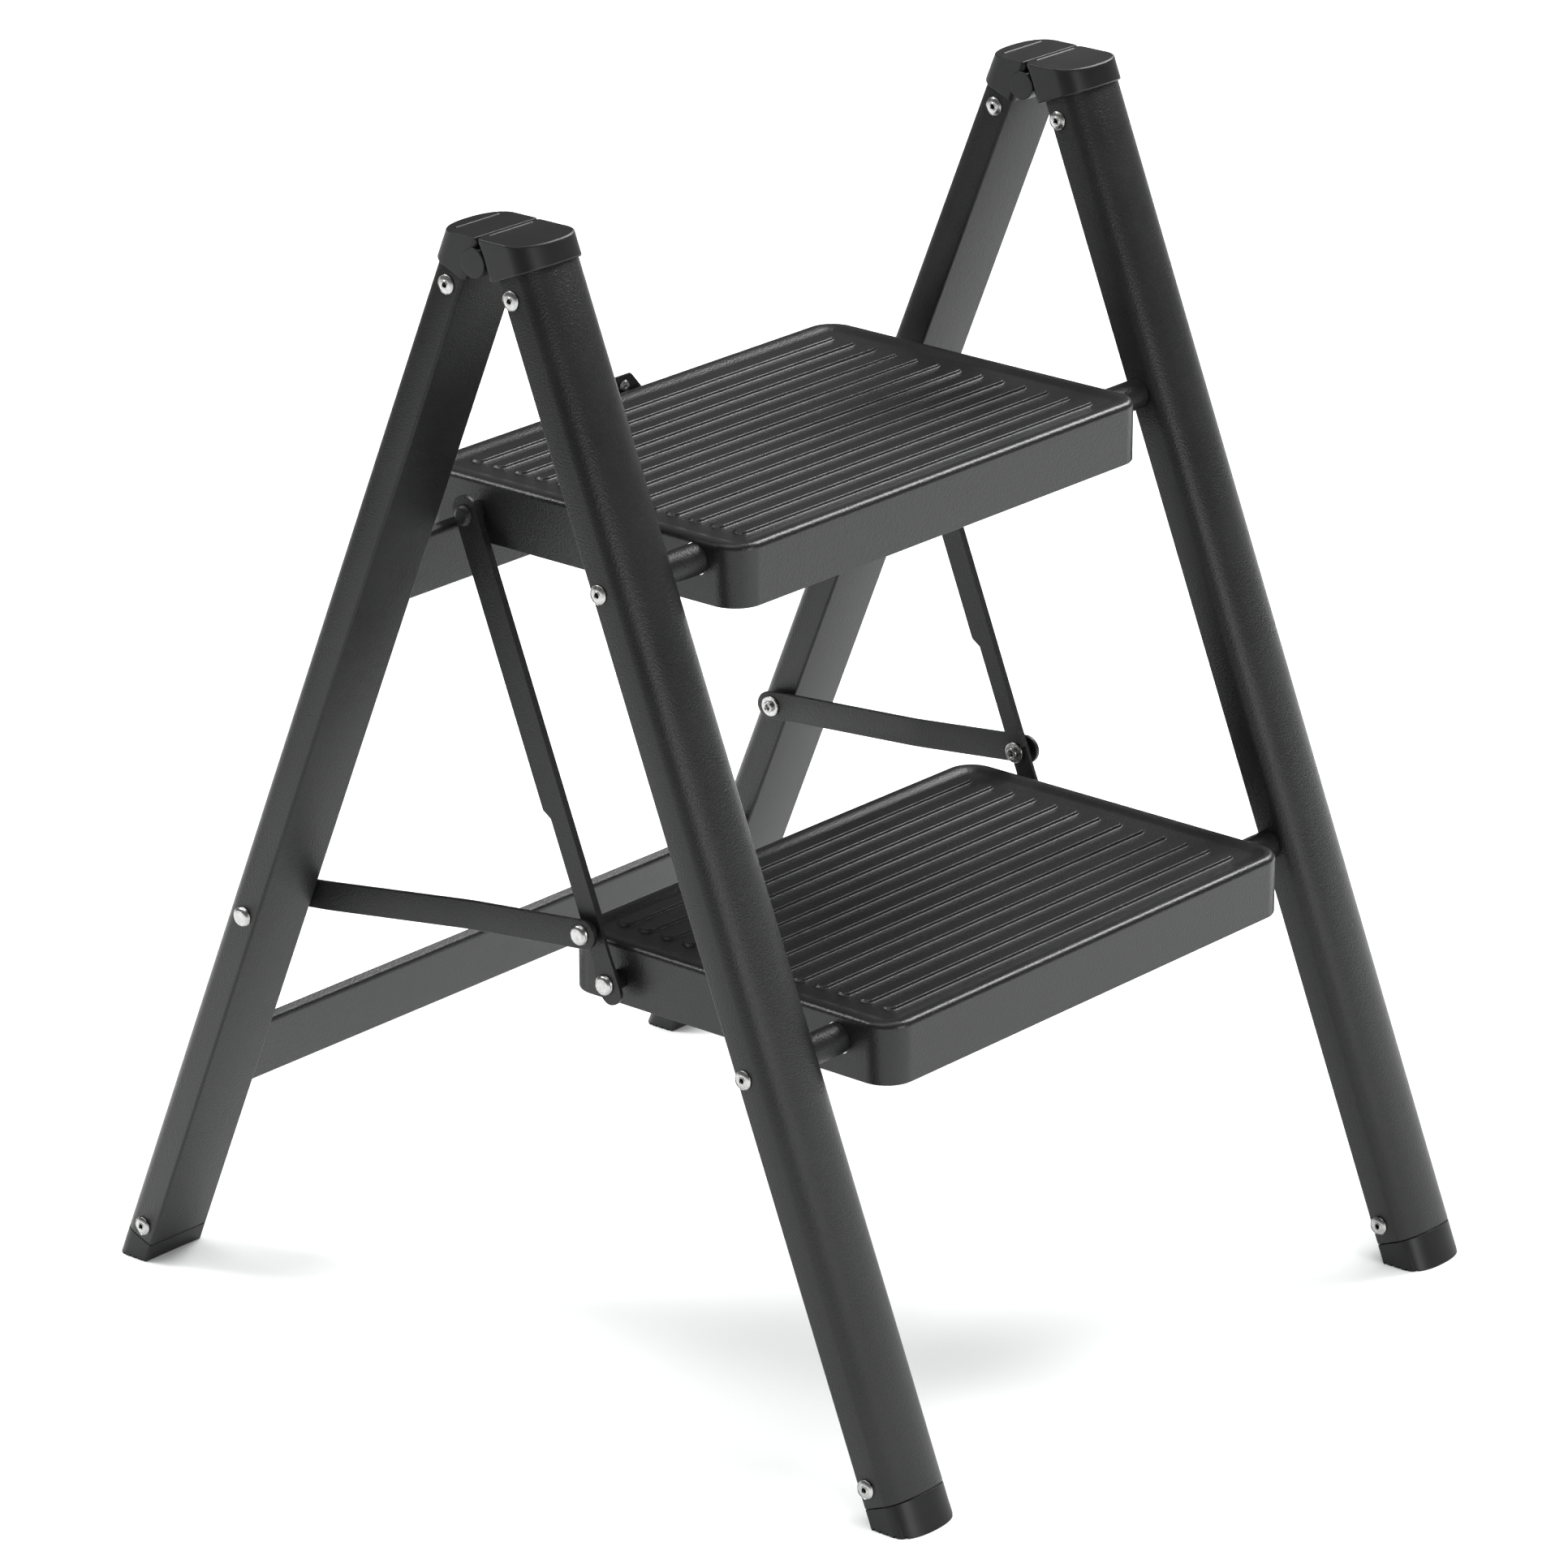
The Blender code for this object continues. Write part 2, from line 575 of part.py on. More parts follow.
def make_long_link(word, side):
    frame = pivot(f"long_link_{word}", *upper_rivet, -front_lean)
    corners = [
        (-0.0100, 0.0085, 0.007), (-0.0100, -0.0065, 0.007), (0.153, -0.0065, 0.0015),
        (0.158, -0.0030, 0.0015), (0.232, -0.0030, 0.003), (0.240, -0.0044, 0.003),
        (link_length + 0.011, -0.0044, 0.006), (link_length + 0.011, 0.0089, 0.0065),
        (0.240, 0.0089, 0.003), (0.232, 0.0085, 0.003)]
    outline = rounded([(-out, -down, radius) for down, out, radius in corners], 4)
    plate = extruded([outline], *sorted(side_x(side, link_face, link_face + link_sheet)), "X")
    link = piece(f"link_long_{word}", plate, frame, powder_coat)
    across = side_x(side, link_face + link_sheet / 2, link_face + link_sheet + link_flange)
    flange = box((across, (-0.0085, -0.0065), (-0.215, 0.004)))
    combine(link, "UNION", flange, frame, "flange")
    places = [(0.0, 0.0), (0.0, -link_length), (0.0, pivot_up - link_length)]
    span = side_x(side, link_face - 0.003, link_face + 0.006)
    combine(link, "DIFFERENCE", rods(pivot_shank + gap, [span], places, 8), frame, "rivet_holes")
    stub = link_face + gap
    tail = [(radius, -gap - link_face - link_sheet - rise) for radius, rise in reversed(rolled_tail())]
    profile = [(0.0, -stub), (pivot_shank, -stub), (pivot_shank, tail[0][1])] + tail
    turned(f"pivot_tail_{word}", profile, frame, side, 0.0, pivot_up - link_length, bright_metal)


def make_short_link(word, side):
    frame = pivot(f"short_link_{word}", *rear_rivet, short_turn)
    low, high = 0.015, 0.110  # where the strip slants from one plane to the other
    ends = (-0.020, short_length + 0.020)
    near, far, sheet = short_near, short_far, short_sheet
    strip = [
        (ends[0], near), (low, near), (high, far), (ends[1], far),
        (ends[1], far + sheet), (high, far + sheet), (low, near + sheet), (ends[0], near + sheet)]
    outline = [(side * (half_span - depth), along) for along, depth in strip]
    link = piece(f"link_short_{word}", extruded([outline], -0.02, 0.02, "Y"), frame, powder_coat)
    half = short_width / 2
    beyond = 0.0097
    stadium = rounded([
        (half, -beyond, half * 0.98), (half, short_length + beyond, half * 0.98),
        (-half, short_length + beyond, half * 0.98), (-half, -beyond, half * 0.98)], 6)
    span = side_x(side, short_near - 0.01, short_far + 0.01)
    combine(link, "INTERSECT", extruded([stadium], *sorted(span), "X"), frame, "outline")
    places = [(0.0, 0.0), (0.0, short_length)]
    combine(link, "DIFFERENCE", rods(pivot_shank + gap, [span], places, 8), frame, "rivet_holes")
    head = [(radius, gap - short_far + rise) for radius, rise in solid_head()]
    shoulder = -short_far - short_sheet - gap
    spacer_end = -link_face + gap
    profile = head + [
        (pivot_shank, head[-1][1]), (pivot_shank, shoulder), (0.006, shoulder), (0.006, spacer_end),
        (0.0, spacer_end)]
    turned(f"pivot_rivet_{word}", profile, frame, side, 0.0, short_length, bright_metal)


def make_rear_pivot_rivet(word, side):
    head = [(radius, gap + rise) for radius, rise in solid_head()]
    tail_face = short_near + short_sheet
    tail = [(radius, -gap - tail_face - rise) for radius, rise in reversed(rolled_tail())]
    profile = head + [
        (pivot_shank, head[-1][1]), (pivot_shank, -leg_width - gap), (0.006, -leg_width - gap),
        (0.006, gap - short_near), (pivot_shank, gap - short_near), (pivot_shank, tail[0][1])] + tail
    name = f"pivot_rivet_rear_{word}"
    turned(name, profile, rear_frame, side, rear_pivot[1], -rear_pivot[0], bright_metal)


def make_tray_rivet(level, parent, word, side, material):
    head = [(radius, gap - link_face + rise) for radius, rise in solid_head()]
    inner = [(radius, -gap - step_face - step_sheet - rise) for radius, rise in reversed(rolled_tail()[:7])]
    inner[0] = (inner[0][0], -gap - step_face - step_sheet)
    profile = head + [
        (pivot_shank, head[-1][1]), (pivot_shank, -link_face - link_sheet - gap),
        (0.005, -link_face - link_sheet - gap), (0.005, gap - step_face),
        (pivot_shank, gap - step_face), (pivot_shank, inner[0][1])] + inner
    turned(f"link_rivet_{level}_{word}", profile, parent, side, *link_reach, material)


for word, side in sides:
    make_long_link(word, side)
    make_short_link(word, side)
    make_rear_pivot_rivet(word, side)
    make_tray_rivet("upper", upper_step, word, side, powder_coat)
    make_tray_rivet("lower", lower_step, word, side, bright_metal)


# Lock: a sprung lever on the upper tray's rear face. Its nose waits behind the bar.

rear_face = step_depth - upper_inset
pin_y, pin_z = rear_face + lock_pin[0], upper_rise + lock_pin[1]
lock = pivot("lock", upper_axis[0] + pin_y, upper_axis[1] + pin_z)
lever_front, lever_sheet = rear_face + 0.0033 - pin_y, 0.0016
bracket_sheet, bracket_half = 0.0013, 0.0187


def make_bracket():
    back = rear_face + gap
    face = back + bracket_sheet
    base = [
        (-bracket_half, pin_z - 0.016), (bracket_half, pin_z - 0.016),
        (bracket_half, pin_z + 0.007), (-bracket_half, pin_z + 0.007)]
    bracket = piece("lock_bracket", extruded([base], back, face, "Y"), upper_step, powder_coat)
    ear = rounded([
        (back + 0.0004, pin_z - 0.008, 0), (pin_y + 0.0045, pin_z - 0.008, 0.004),
        (pin_y + 0.0045, pin_z + 0.0069, 0.004), (back + 0.0004, pin_z + 0.0069, 0)])
    for word, side in sides:
        span = sorted((side * (bracket_half - 0.0015), side * (bracket_half - 0.00005)))
        combine(bracket, "UNION", extruded([ear], *span, "X"), upper_step, f"ear_{word}")
    span = (-bracket_half - 0.003, bracket_half + 0.003)
    combine(bracket, "DIFFERENCE", rods(0.0018, [span], [(pin_y, pin_z)], 12), upper_step, "pin_hole")
    spots = [(side * 0.0145, pin_z - 0.0135) for word, side in sides]
    holes = bmesh.new()
    for x, z in spots:
        place = Matrix.Translation((x, rear_face, z)) @ Matrix.Rotation(math.pi / 2, 4, "X")
        bmesh.ops.create_cone(
            holes, cap_ends=True, segments=12, radius1=0.0015, radius2=0.0015, depth=0.01, matrix=place)
    hole_mesh = mesh_from(holes)
    combine(bracket, "DIFFERENCE", hole_mesh, upper_step, "rivet_holes")
    combine(upper_tray, "DIFFERENCE", hole_mesh.copy(), upper_step, "bracket_holes")
    for (word, side), (x, z) in zip(sides, spots):
        inside = rear_face - step_sheet - gap
        profile = [
            (0.0, face + gap + 0.0008), (0.0015, face + gap + 0.0008), (0.0022, face + gap),
            (0.0012, face + gap), (0.0012, inside), (0.0020, inside), (0.0016, inside - 0.0010),
            (0.0, inside - 0.0010)]
        rivet = turned(f"bracket_rivet_{word}", profile, upper_step, 1, 0.0, z, bright_metal)
        rivet.location = (x, 0.0, z)
        rivet.rotation_euler = (-math.pi / 2, 0.0, 0.0)


def make_pin():
    half = bracket_half + 0.0004
    profile = [
        (0.0, half + 0.0012), (0.0022, half + 0.0012), (0.0026, half), (0.0015, half),
        (0.0015, -half), (0.0026, -half), (0.0022, -half - 0.0012), (0.0, -half - 0.0012)]
    pin = turned("lock_pin", profile, upper_step, 1, pin_y, pin_z, bright_metal)
    pin.location.x = 0.0


def make_lever():
    top, shoulder = 0.0200, 0.0116
    outline = [
        (-0.006, top), (0.006, top), (0.0136, shoulder), (0.0136, -0.0095), (0.0080, -0.0160),
        (0.0080, -0.0520), (-0.0080, -0.0520), (-0.0080, -0.0160), (-0.0136, -0.0095), (-0.0136, shoulder)]
    window = [(-0.0055, -0.0050), (-0.0015, -0.0050), (-0.0015, 0.0), (-0.0055, 0.0)]
    rear = lever_front + lever_sheet
    lever = piece("lock_lever", extruded([outline, window], lever_front, rear, "Y"), lock, powder_coat)
    cheek = rounded([
        (lever_front + 0.0008, -0.009, 0), (0.0045, -0.009, 0.004), (0.0045, 0.009, 0.004),
        (lever_front + 0.0008, 0.009, 0)])
    for word, side in sides:
        span = sorted((side * 0.0121, side * 0.01355))
        combine(lever, "UNION", extruded([cheek], *span, "X"), lock, f"cheek_{word}")
    nose_tip = on_rear_leg(upper_bar_down + bar_height, bar_offset + bar_depth)[0] + 0.0006
    nose = box(((-0.0078, 0.0078), (nose_tip - upper_axis[0] - pin_y, rear - 0.0004), (-0.0518, -0.0480)))
    combine(lever, "UNION", nose, lock, "nose")
    combine(lever, "DIFFERENCE", rods(0.0018, [(-0.02, 0.02)], [(0.0, 0.0)], 12), lock, "pin_hole")
    thumb = bmesh.new()
    place = Matrix.Translation((0.0, lever_front, 0.0140)) @ Matrix.Rotation(math.pi / 2, 4, "X")
    bmesh.ops.create_cone(
        thumb, cap_ends=True, segments=12, radius1=0.0019, radius2=0.0019, depth=0.01, matrix=place)
    combine(lever, "DIFFERENCE", mesh_from(thumb), lock, "thumb_hole")
    head = lever_front - gap
    profile = [
        (0.0, -head + 0.0004), (0.0010, -head + 0.0004), (0.0011, -head + 0.0011), (0.0030, -head + 0.0010),
        (0.0038, -head + 0.0003), (0.0038, -head), (0.0016, -head), (0.0016, -rear - gap),
        (0.0026, -rear - gap), (0.0022, -rear - 0.0018), (0.0, -rear - 0.0018)]
    rivet = turned("lock_rivet", profile, lock, 1, 0.0, 0.0140, bright_metal)
    rivet.location = (0.0, 0.0, 0.0140)
    rivet.rotation_euler = (math.pi / 2, 0.0, 0.0)


def make_torsion_spring():
    # One leg reaches forward to the bracket, the coil circles the pin, the other leg runs
    # down behind the lever
    turns, half, radius, wire, per_turn = 3, 0.0035, 0.0024, 0.0004, 8
    count = turns * per_turn + per_turn * 3 // 4
    points = [(-half, lever_front - 0.0010, -radius)]
    for step in range(count + 1):
        angle = -math.pi / 2 - 2 * math.pi * step / per_turn
        along = -half + 2 * half * step / count
        points.append((along, -radius * math.cos(angle), radius * math.sin(angle)))
    points.append((half, -radius, -0.0130))
    curve = bpy.data.curves.new("lock_spring", "CURVE")
    curve.dimensions = "3D"
    curve.bevel_depth = wire
    curve.bevel_resolution = 1
    curve.use_fill_caps = True
    spline = curve.splines.new("POLY")
    spline.points.add(len(points) - 1)
    for point, place in zip(spline.points, points):
        point.co = (*place, 1.0)
    spring = bpy.data.objects.new("lock_spring", curve)
    curve.materials.append(spring_steel)
    spring.parent = lock
    stool.objects.link(spring)


make_bracket()
make_pin()
make_lever()
make_torsion_spring()
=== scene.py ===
import json
import math

import bmesh
import bpy
from mathutils import Matrix, Vector


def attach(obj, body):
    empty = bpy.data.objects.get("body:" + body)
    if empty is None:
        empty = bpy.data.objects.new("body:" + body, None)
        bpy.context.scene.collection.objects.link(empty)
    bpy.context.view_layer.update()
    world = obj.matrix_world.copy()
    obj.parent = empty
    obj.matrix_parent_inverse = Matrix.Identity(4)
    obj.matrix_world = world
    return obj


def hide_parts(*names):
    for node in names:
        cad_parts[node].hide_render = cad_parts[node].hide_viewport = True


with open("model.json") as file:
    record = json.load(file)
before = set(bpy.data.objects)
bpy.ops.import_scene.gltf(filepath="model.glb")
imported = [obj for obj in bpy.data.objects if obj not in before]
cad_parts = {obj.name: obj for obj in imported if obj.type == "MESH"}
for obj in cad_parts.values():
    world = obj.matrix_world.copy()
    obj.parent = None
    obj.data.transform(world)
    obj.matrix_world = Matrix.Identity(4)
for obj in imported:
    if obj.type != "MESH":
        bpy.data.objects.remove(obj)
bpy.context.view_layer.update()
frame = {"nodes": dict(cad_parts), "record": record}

nodes = frame["nodes"]
jointAt = {
    joint["name"]: Vector(joint["pos_m"]) for joint in frame["record"]["behaviour"]["joints"]}
sides = (("left", -1), ("right", 1))
print("frame loaded:", len(nodes), "nodes")


# small tools

def hexColor(code):
    # sRGB hex to the linear values that shaders take
    channels = [int(code[i:i + 2], 16) / 255 for i in (1, 3, 5)]
    linear = [c / 12.92 if c <= 0.04045 else ((c + 0.055) / 1.055) ** 2.4 for c in channels]
    return (*linear, 1.0)


def addNode(tree, kind, values=None, links=None, **settings):
    # one node, its attributes, its input values and the outputs that feed it
    made = tree.nodes.new(kind)
    for key, value in settings.items():
        setattr(made, key, value)
    for key, value in (values or {}).items():
        made.inputs[key].default_value = value
    for key, output in (links or {}).items():
        tree.links.new(output, made.inputs[key])
    return made


def plainObject(name, mesh, material):
    mesh.name = name
    made = bpy.data.objects.new(name, mesh)
    bpy.context.scene.collection.objects.link(made)
    mesh.materials.clear()
    mesh.materials.append(material)
    return made


def applyModifiers(piece):
    # the evaluated shape becomes the piece's own plain mesh
    graph = bpy.context.evaluated_depsgraph_get()
    mesh = bpy.data.meshes.new_from_object(piece.evaluated_get(graph))
    piece.modifiers.clear()
    piece.data = mesh
    return piece


def settle(piece, body, slotName, *replaced):
    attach(piece, body)
    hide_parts(*replaced)


def meshFrom(builder, merge=0.0):
    if merge:
        bmesh.ops.remove_doubles(builder, verts=builder.verts, dist=merge)
    bmesh.ops.recalc_face_normals(builder, faces=builder.faces)
    mesh = bpy.data.meshes.new("shape")
    builder.to_mesh(mesh)
    builder.free()
    return mesh


def smoothed(mesh, angle=32):
    mesh.shade_smooth()
    mesh.set_sharp_from_angle(angle=math.radians(angle))
    return mesh


def evenShading(piece, angle=36):
    # large flats keep flat normals beside small rounded edges
    smoothed(piece.data, angle)
    modifier = piece.modifiers.new("Weighted Normal", "WEIGHTED_NORMAL")
    modifier.keep_sharp = True
    modifier.weight = 90
    applyModifiers(piece)


def rounded(corners, steps):
    # an outline through (u, v, radius) corners, each radius as an arc
    points = []
    for index, (u, v, radius) in enumerate(corners):
        here = Vector((u, v))
        if not radius:
            points.append(here)
            continue
        back = (Vector(corners[index - 1][:2]) - here).normalized()
        ahead = (Vector(corners[(index + 1) % len(corners)][:2]) - here).normalized()
        half = back.angle(ahead) / 2
        center = here + (back + ahead).normalized() * radius / math.sin(half)
        first = here + back * radius / math.tan(half) - center
        last = here + ahead * radius / math.tan(half) - center
        sweep = first.angle_signed(last)
        for step in range(steps + 1):
            points.append(center + Matrix.Rotation(-sweep * step / steps, 2) @ first)
    return points


def skin(builder, made):
    for low, high in zip(made, made[1:]):
        for index in range(len(low)):
            after = (index + 1) % len(low)
            builder.faces.new((low[index], low[after], high[after], high[index]))


def loft(rings):
    # skins equal rings of points, one after the other, with an end face at either end
    builder = bmesh.new()
    made = [[builder.verts.new(point) for point in ring] for ring in rings]
    skin(builder, made)
    builder.faces.new(made[0])
    builder.faces.new(reversed(made[-1]))
    return meshFrom(builder)


def slab(outline, start, end, place):
    # a flat outline given a thickness; place turns (u, v, along) into a point
    return loft([[place(u, v, along) for u, v in outline] for along in (start, end)])


def boxMesh(*extents):
    builder = bmesh.new()
    for spans in extents:
        middle = Vector([(low + high) / 2 for low, high in spans])
        size = [abs(high - low) for low, high in spans]
        place = Matrix.Translation(middle) @ Matrix.Diagonal((*size, 1.0))
        bmesh.ops.create_cube(builder, size=1.0, matrix=place)
    return meshFrom(builder)


alongX = Matrix.Rotation(math.pi / 2, 4, "Y")     # turns what stands on Z to lie along X


def rodMesh(radius, start, end, y, z, segments=64):
    builder = bmesh.new()
    place = Matrix.Translation(((start + end) / 2, y, z)) @ alongX
    bmesh.ops.create_cone(
        builder, cap_ends=True, segments=segments, radius1=radius, radius2=radius,
        depth=abs(end - start), matrix=place)
    return meshFrom(builder)


def combine(piece, operation, mesh):
    other = plainObject("tool", mesh, piece.data.materials[0])
    modifier = piece.modifiers.new("Boolean", "BOOLEAN")
    modifier.operation = operation
    modifier.object = other
    modifier.solver = "EXACT"
    applyModifiers(piece)
    bpy.data.objects.remove(other)


def roundEdges(piece, width, segments=3, angle=35):
    modifier = piece.modifiers.new("Bevel", "BEVEL")
    modifier.width = width
    modifier.segments = segments
    modifier.limit_method = "ANGLE"
    modifier.angle_limit = math.radians(angle)
    modifier.harden_normals = True
    applyModifiers(piece)


def lathe(profile, steps=48):
    # turns (radius, height) points about Z
    builder = bmesh.new()
    verts = [builder.verts.new((radius, 0.0, height)) for radius, height in profile]
    edges = [builder.edges.new(pair) for pair in zip(verts, verts[1:])]
    bmesh.ops.spin(
        builder, geom=verts + edges, axis=(0, 0, 1), cent=(0, 0, 0), steps=steps,
        angle=math.tau, use_merge=True)
    return smoothed(meshFrom(builder, 0.000002))


# materials

def surface(name, look):
    # look: dark and light hex colours, roughness and its spread, and grain and patch sizes in mm
    made = bpy.data.materials.new(name)
    made.use_nodes = True
    tree = made.node_tree
    shader = tree.nodes["Principled BSDF"]
    shader.inputs["Metallic"].default_value = look.get("metallic", 0.0)
    shader.inputs["IOR"].default_value = look.get("ior", 1.5)
    shader.inputs["Specular IOR Level"].default_value = look.get("gloss", 0.5)
    speckle, rough, spread = look["speckle"], look["roughness"], look["roughSpread"]
    place = addNode(tree, "ShaderNodeTexCoord").outputs["Object"]
    patches = addNode(
        tree, "ShaderNodeTexNoise",
        {"Scale": 1000 / look["patchMm"], "Detail": 3.0, "Roughness": 0.6},
        {"Vector": place}).outputs["Fac"]
    ramp = addNode(tree, "ShaderNodeValToRGB", links={"Fac": patches})
    ramp.color_ramp.elements[0].position = 0.32
    ramp.color_ramp.elements[0].color = hexColor(look["dark"])
    ramp.color_ramp.elements[1].position = 0.70
    ramp.color_ramp.elements[1].color = hexColor(look["light"])
    grain = addNode(
        tree, "ShaderNodeTexNoise",
        {"Scale": 1000 / look["grainMm"], "Detail": 2.0, "Roughness": 0.55},
        {"Vector": place}).outputs["Fac"]
    mottled = addNode(
        tree, "ShaderNodeMapRange", {"To Min": 1.0 - speckle, "To Max": 1.0 + speckle},
        {"Value": grain}).outputs["Result"]
    color = addNode(
        tree, "ShaderNodeVectorMath", links={0: ramp.outputs["Color"], 1: mottled},
        operation="MULTIPLY")
    tree.links.new(color.outputs["Vector"], shader.inputs["Base Color"])
    roughness = addNode(
        tree, "ShaderNodeMapRange", {"To Min": rough - spread, "To Max": rough + spread},
        {"Value": patches}).outputs["Result"]
    tree.links.new(roughness, shader.inputs["Roughness"])
    bump = addNode(
        tree, "ShaderNodeBump", {"Strength": look["bump"], "Distance": look["bumpMm"] / 1000},
        {"Height": grain})
    tree.links.new(bump.outputs["Normal"], shader.inputs["Normal"])
    return made


# powder coat, sprayed dry and baked: a satin skin of melted grains that breaks highlights up;
# the grain is drawn at 1 mm, coarser than real, so that it shows
satinPowderCoat = surface("satinPowderCoat", {
    "dark": "#151516", "light": "#1b1b1c", "roughness": 0.38, "roughSpread": 0.04,
    "grainMm": 1.0, "patchMm": 45, "speckle": 0.22, "bump": 0.85, "bumpMm": 0.32, "gloss": 0.32})
# the pressed trays have the same coat, baked a little flatter
trayPowderCoat = surface("trayPowderCoat", {
    "dark": "#161617", "light": "#1c1c1d", "roughness": 0.33, "roughSpread": 0.04,
    "grainMm": 1.1, "patchMm": 60, "speckle": 0.18, "bump": 0.70, "bumpMm": 0.28, "gloss": 0.40})
# glass-filled nylon from a spark-eroded mould: near black, with a dull fine texture
mouldedNylon = surface("mouldedNylon", {
    "dark": "#0f0f10", "light": "#131314", "roughness": 0.42, "roughSpread": 0.05,
    "grainMm": 0.5, "patchMm": 20, "speckle": 0.10, "bump": 0.22, "bumpMm": 0.06,
    "ior": 1.53, "gloss": 0.30})
# set aluminium rivets: bright, with a trace of drawing marks
rivetAluminium = surface("rivetAluminium", {
    "dark": "#a3a3a2", "light": "#c2c2c0", "roughness": 0.27, "roughSpread": 0.05,
    "grainMm": 0.35, "patchMm": 2.5, "speckle": 0.05, "bump": 0.10, "bumpMm": 0.02,
    "metallic": 1.0})
# zinc-plated spring wire and pins
zincPlate = surface("zincPlate", {
    "dark": "#8f9092", "light": "#b4b5b8", "roughness": 0.32, "roughSpread": 0.08,
    "grainMm": 0.4, "patchMm": 3, "speckle": 0.06, "bump": 0.10, "bumpMm": 0.02,
    "metallic": 1.0})
print("materials ready")


# the stool's own numbers, as the CAD has them

stool = {
    "gap": 0.0003, "halfSpan": 0.231,
    "frontLean": math.radians(21.83), "rearLean": math.radians(22.14),
    "legWidth": 0.042, "legDepth": 0.023, "legCorner": 0.0015, "legEdge": 0.0004,
    "crownRise": 0.010, "crownPower": 2.3, "crownSteps": 48,
}
hinge = jointAt["fold"]
upperAxis = jointAt["upper_step_turn"]
lowerAxis = jointAt["lower_step_turn"]
upperRivet = jointAt["long_link_left_turn"]
rearPivot = jointAt["short_link_left_turn"]
# back, capBack: how far out from the hinge a leg and its cap begin; tube: from, to down the leg
legKinds = {
    "front": {
        "body": "front_frame", "outward": -1, "lean": stool["frontLean"], "back": 0.0109,
        "tube": (0.0040, 0.6346), "capBack": 0.0061, "ridge": -0.0042},
    "rear": {
        "body": "rear_frame", "outward": 1, "lean": stool["rearLean"], "back": 0.0035,
        "tube": (0.0082, 0.6322), "capBack": 0.0020, "ridge": 0.0175},
}


def inX(side, distance):
    # x at a distance in from a leg's outer face
    return side * (stool["halfSpan"] - distance)


def legPlace(kind, x, out, down):
    # a point from its distance out from the hinge axis and down a leg
    leg = legKinds[kind]
    sine, cosine = math.sin(leg["lean"]), math.cos(leg["lean"])
    y = hinge.y + leg["outward"] * (down * sine + out * cosine)
    z = hinge.z - down * cosine + out * sine
    return Vector((x, y, z))


def arcPoints(center, radius, start, end, steps):
    angles = [math.radians(start + (end - start) * step / steps) for step in range(steps + 1)]
    return [(center[0] + radius * math.cos(a), center[1] + radius * math.sin(a)) for a in angles]


def legOutline(kind, middle, grow, backShift):
    # (x, out) round a leg: flat back, straight sides and a superelliptic crown
    leg = legKinds[kind]
    half = stool["legWidth"] / 2 + grow
    corner = max(stool["legCorner"] + grow, 0.0008)
    flat = backShift or leg["back"] - grow
    side = leg["back"] + stool["legDepth"] - stool["crownRise"]
    rise = stool["crownRise"] + grow
    power, steps = 2 / stool["crownPower"], stool["crownSteps"]
    box = [(half, side, 0), (-half, side, 0), (-half, flat, corner), (half, flat, corner)]
    points = [(point.x, point.y) for point in rounded(box, 6)][2:]
    for step in range(steps + 1):
        turn = math.pi * step / steps
        angle = math.atan2(rise * math.sin(turn), half * math.cos(turn))
        across = math.copysign(abs(math.cos(angle)) ** power, math.cos(angle))
        up = max(math.sin(angle), 0.0) ** power
        points.append((half * across, side + rise * up))
    return [(middle + x, out) for x, out in points]


def legSolid(kind, middle, start, end, grow=0.0, backShift=0.0):
    outline = legOutline(kind, middle, grow, backShift)
    return slab(outline, start, end, lambda x, out, down: legPlace(kind, x, out, down))


def makeLeg(kind, word, side):
    leg = legKinds[kind]
    middle = side * (stool["halfSpan"] - stool["legWidth"] / 2)
    mesh = legSolid(kind, middle, *leg["tube"])
    name = "legTube" + kind.title() + word.title()
    piece = plainObject(name, smoothed(mesh), satinPowderCoat)
    roundEdges(piece, stool["legEdge"], 3, 60)
    smoothed(piece.data)
    settle(piece, leg["body"], "powder_coat", f"leg_{kind}_{word}")


capShape = {
    "grow": 0.0017, "seam": 0.0116, "blockTop": -0.034, "topZ": 0.6077, "edge": 0.0010,
    "halvingGap": 0.0004, "halving": (-0.02, 0.05), "split": 0.0102,
    "knuckle": 0.0076, "knuckleEdge": 0.0006, "proud": 0.0003, "room": 0.0082, "roomPast": 0.004,
    "ridgeHalf": 0.0155, "ridgeRadius": 0.0007, "ridgeRise": 0.0004,
}
cutWide, cutDeep = 0.03, 0.06     # half sizes of the blocks that trim caps and feet


def barrelMesh(start, end):
    # one knuckle with softly rounded ends
    radius, edge = capShape["knuckle"], capShape["knuckleEdge"]
    low, high = sorted((start, end))
    rim = [(radius - edge + u, v - edge) for u, v in arcPoints((0, 0), edge, 90, 0, 4)]
    top = [(0, high)] + [(u, high + v) for u, v in rim]
    bottom = [(u, low - v) for u, v in reversed(rim)] + [(0, low)]
    mesh = lathe(top + bottom, 72)
    mesh.transform(Matrix.Translation((0, hinge.y, hinge.z)) @ alongX)
    return mesh


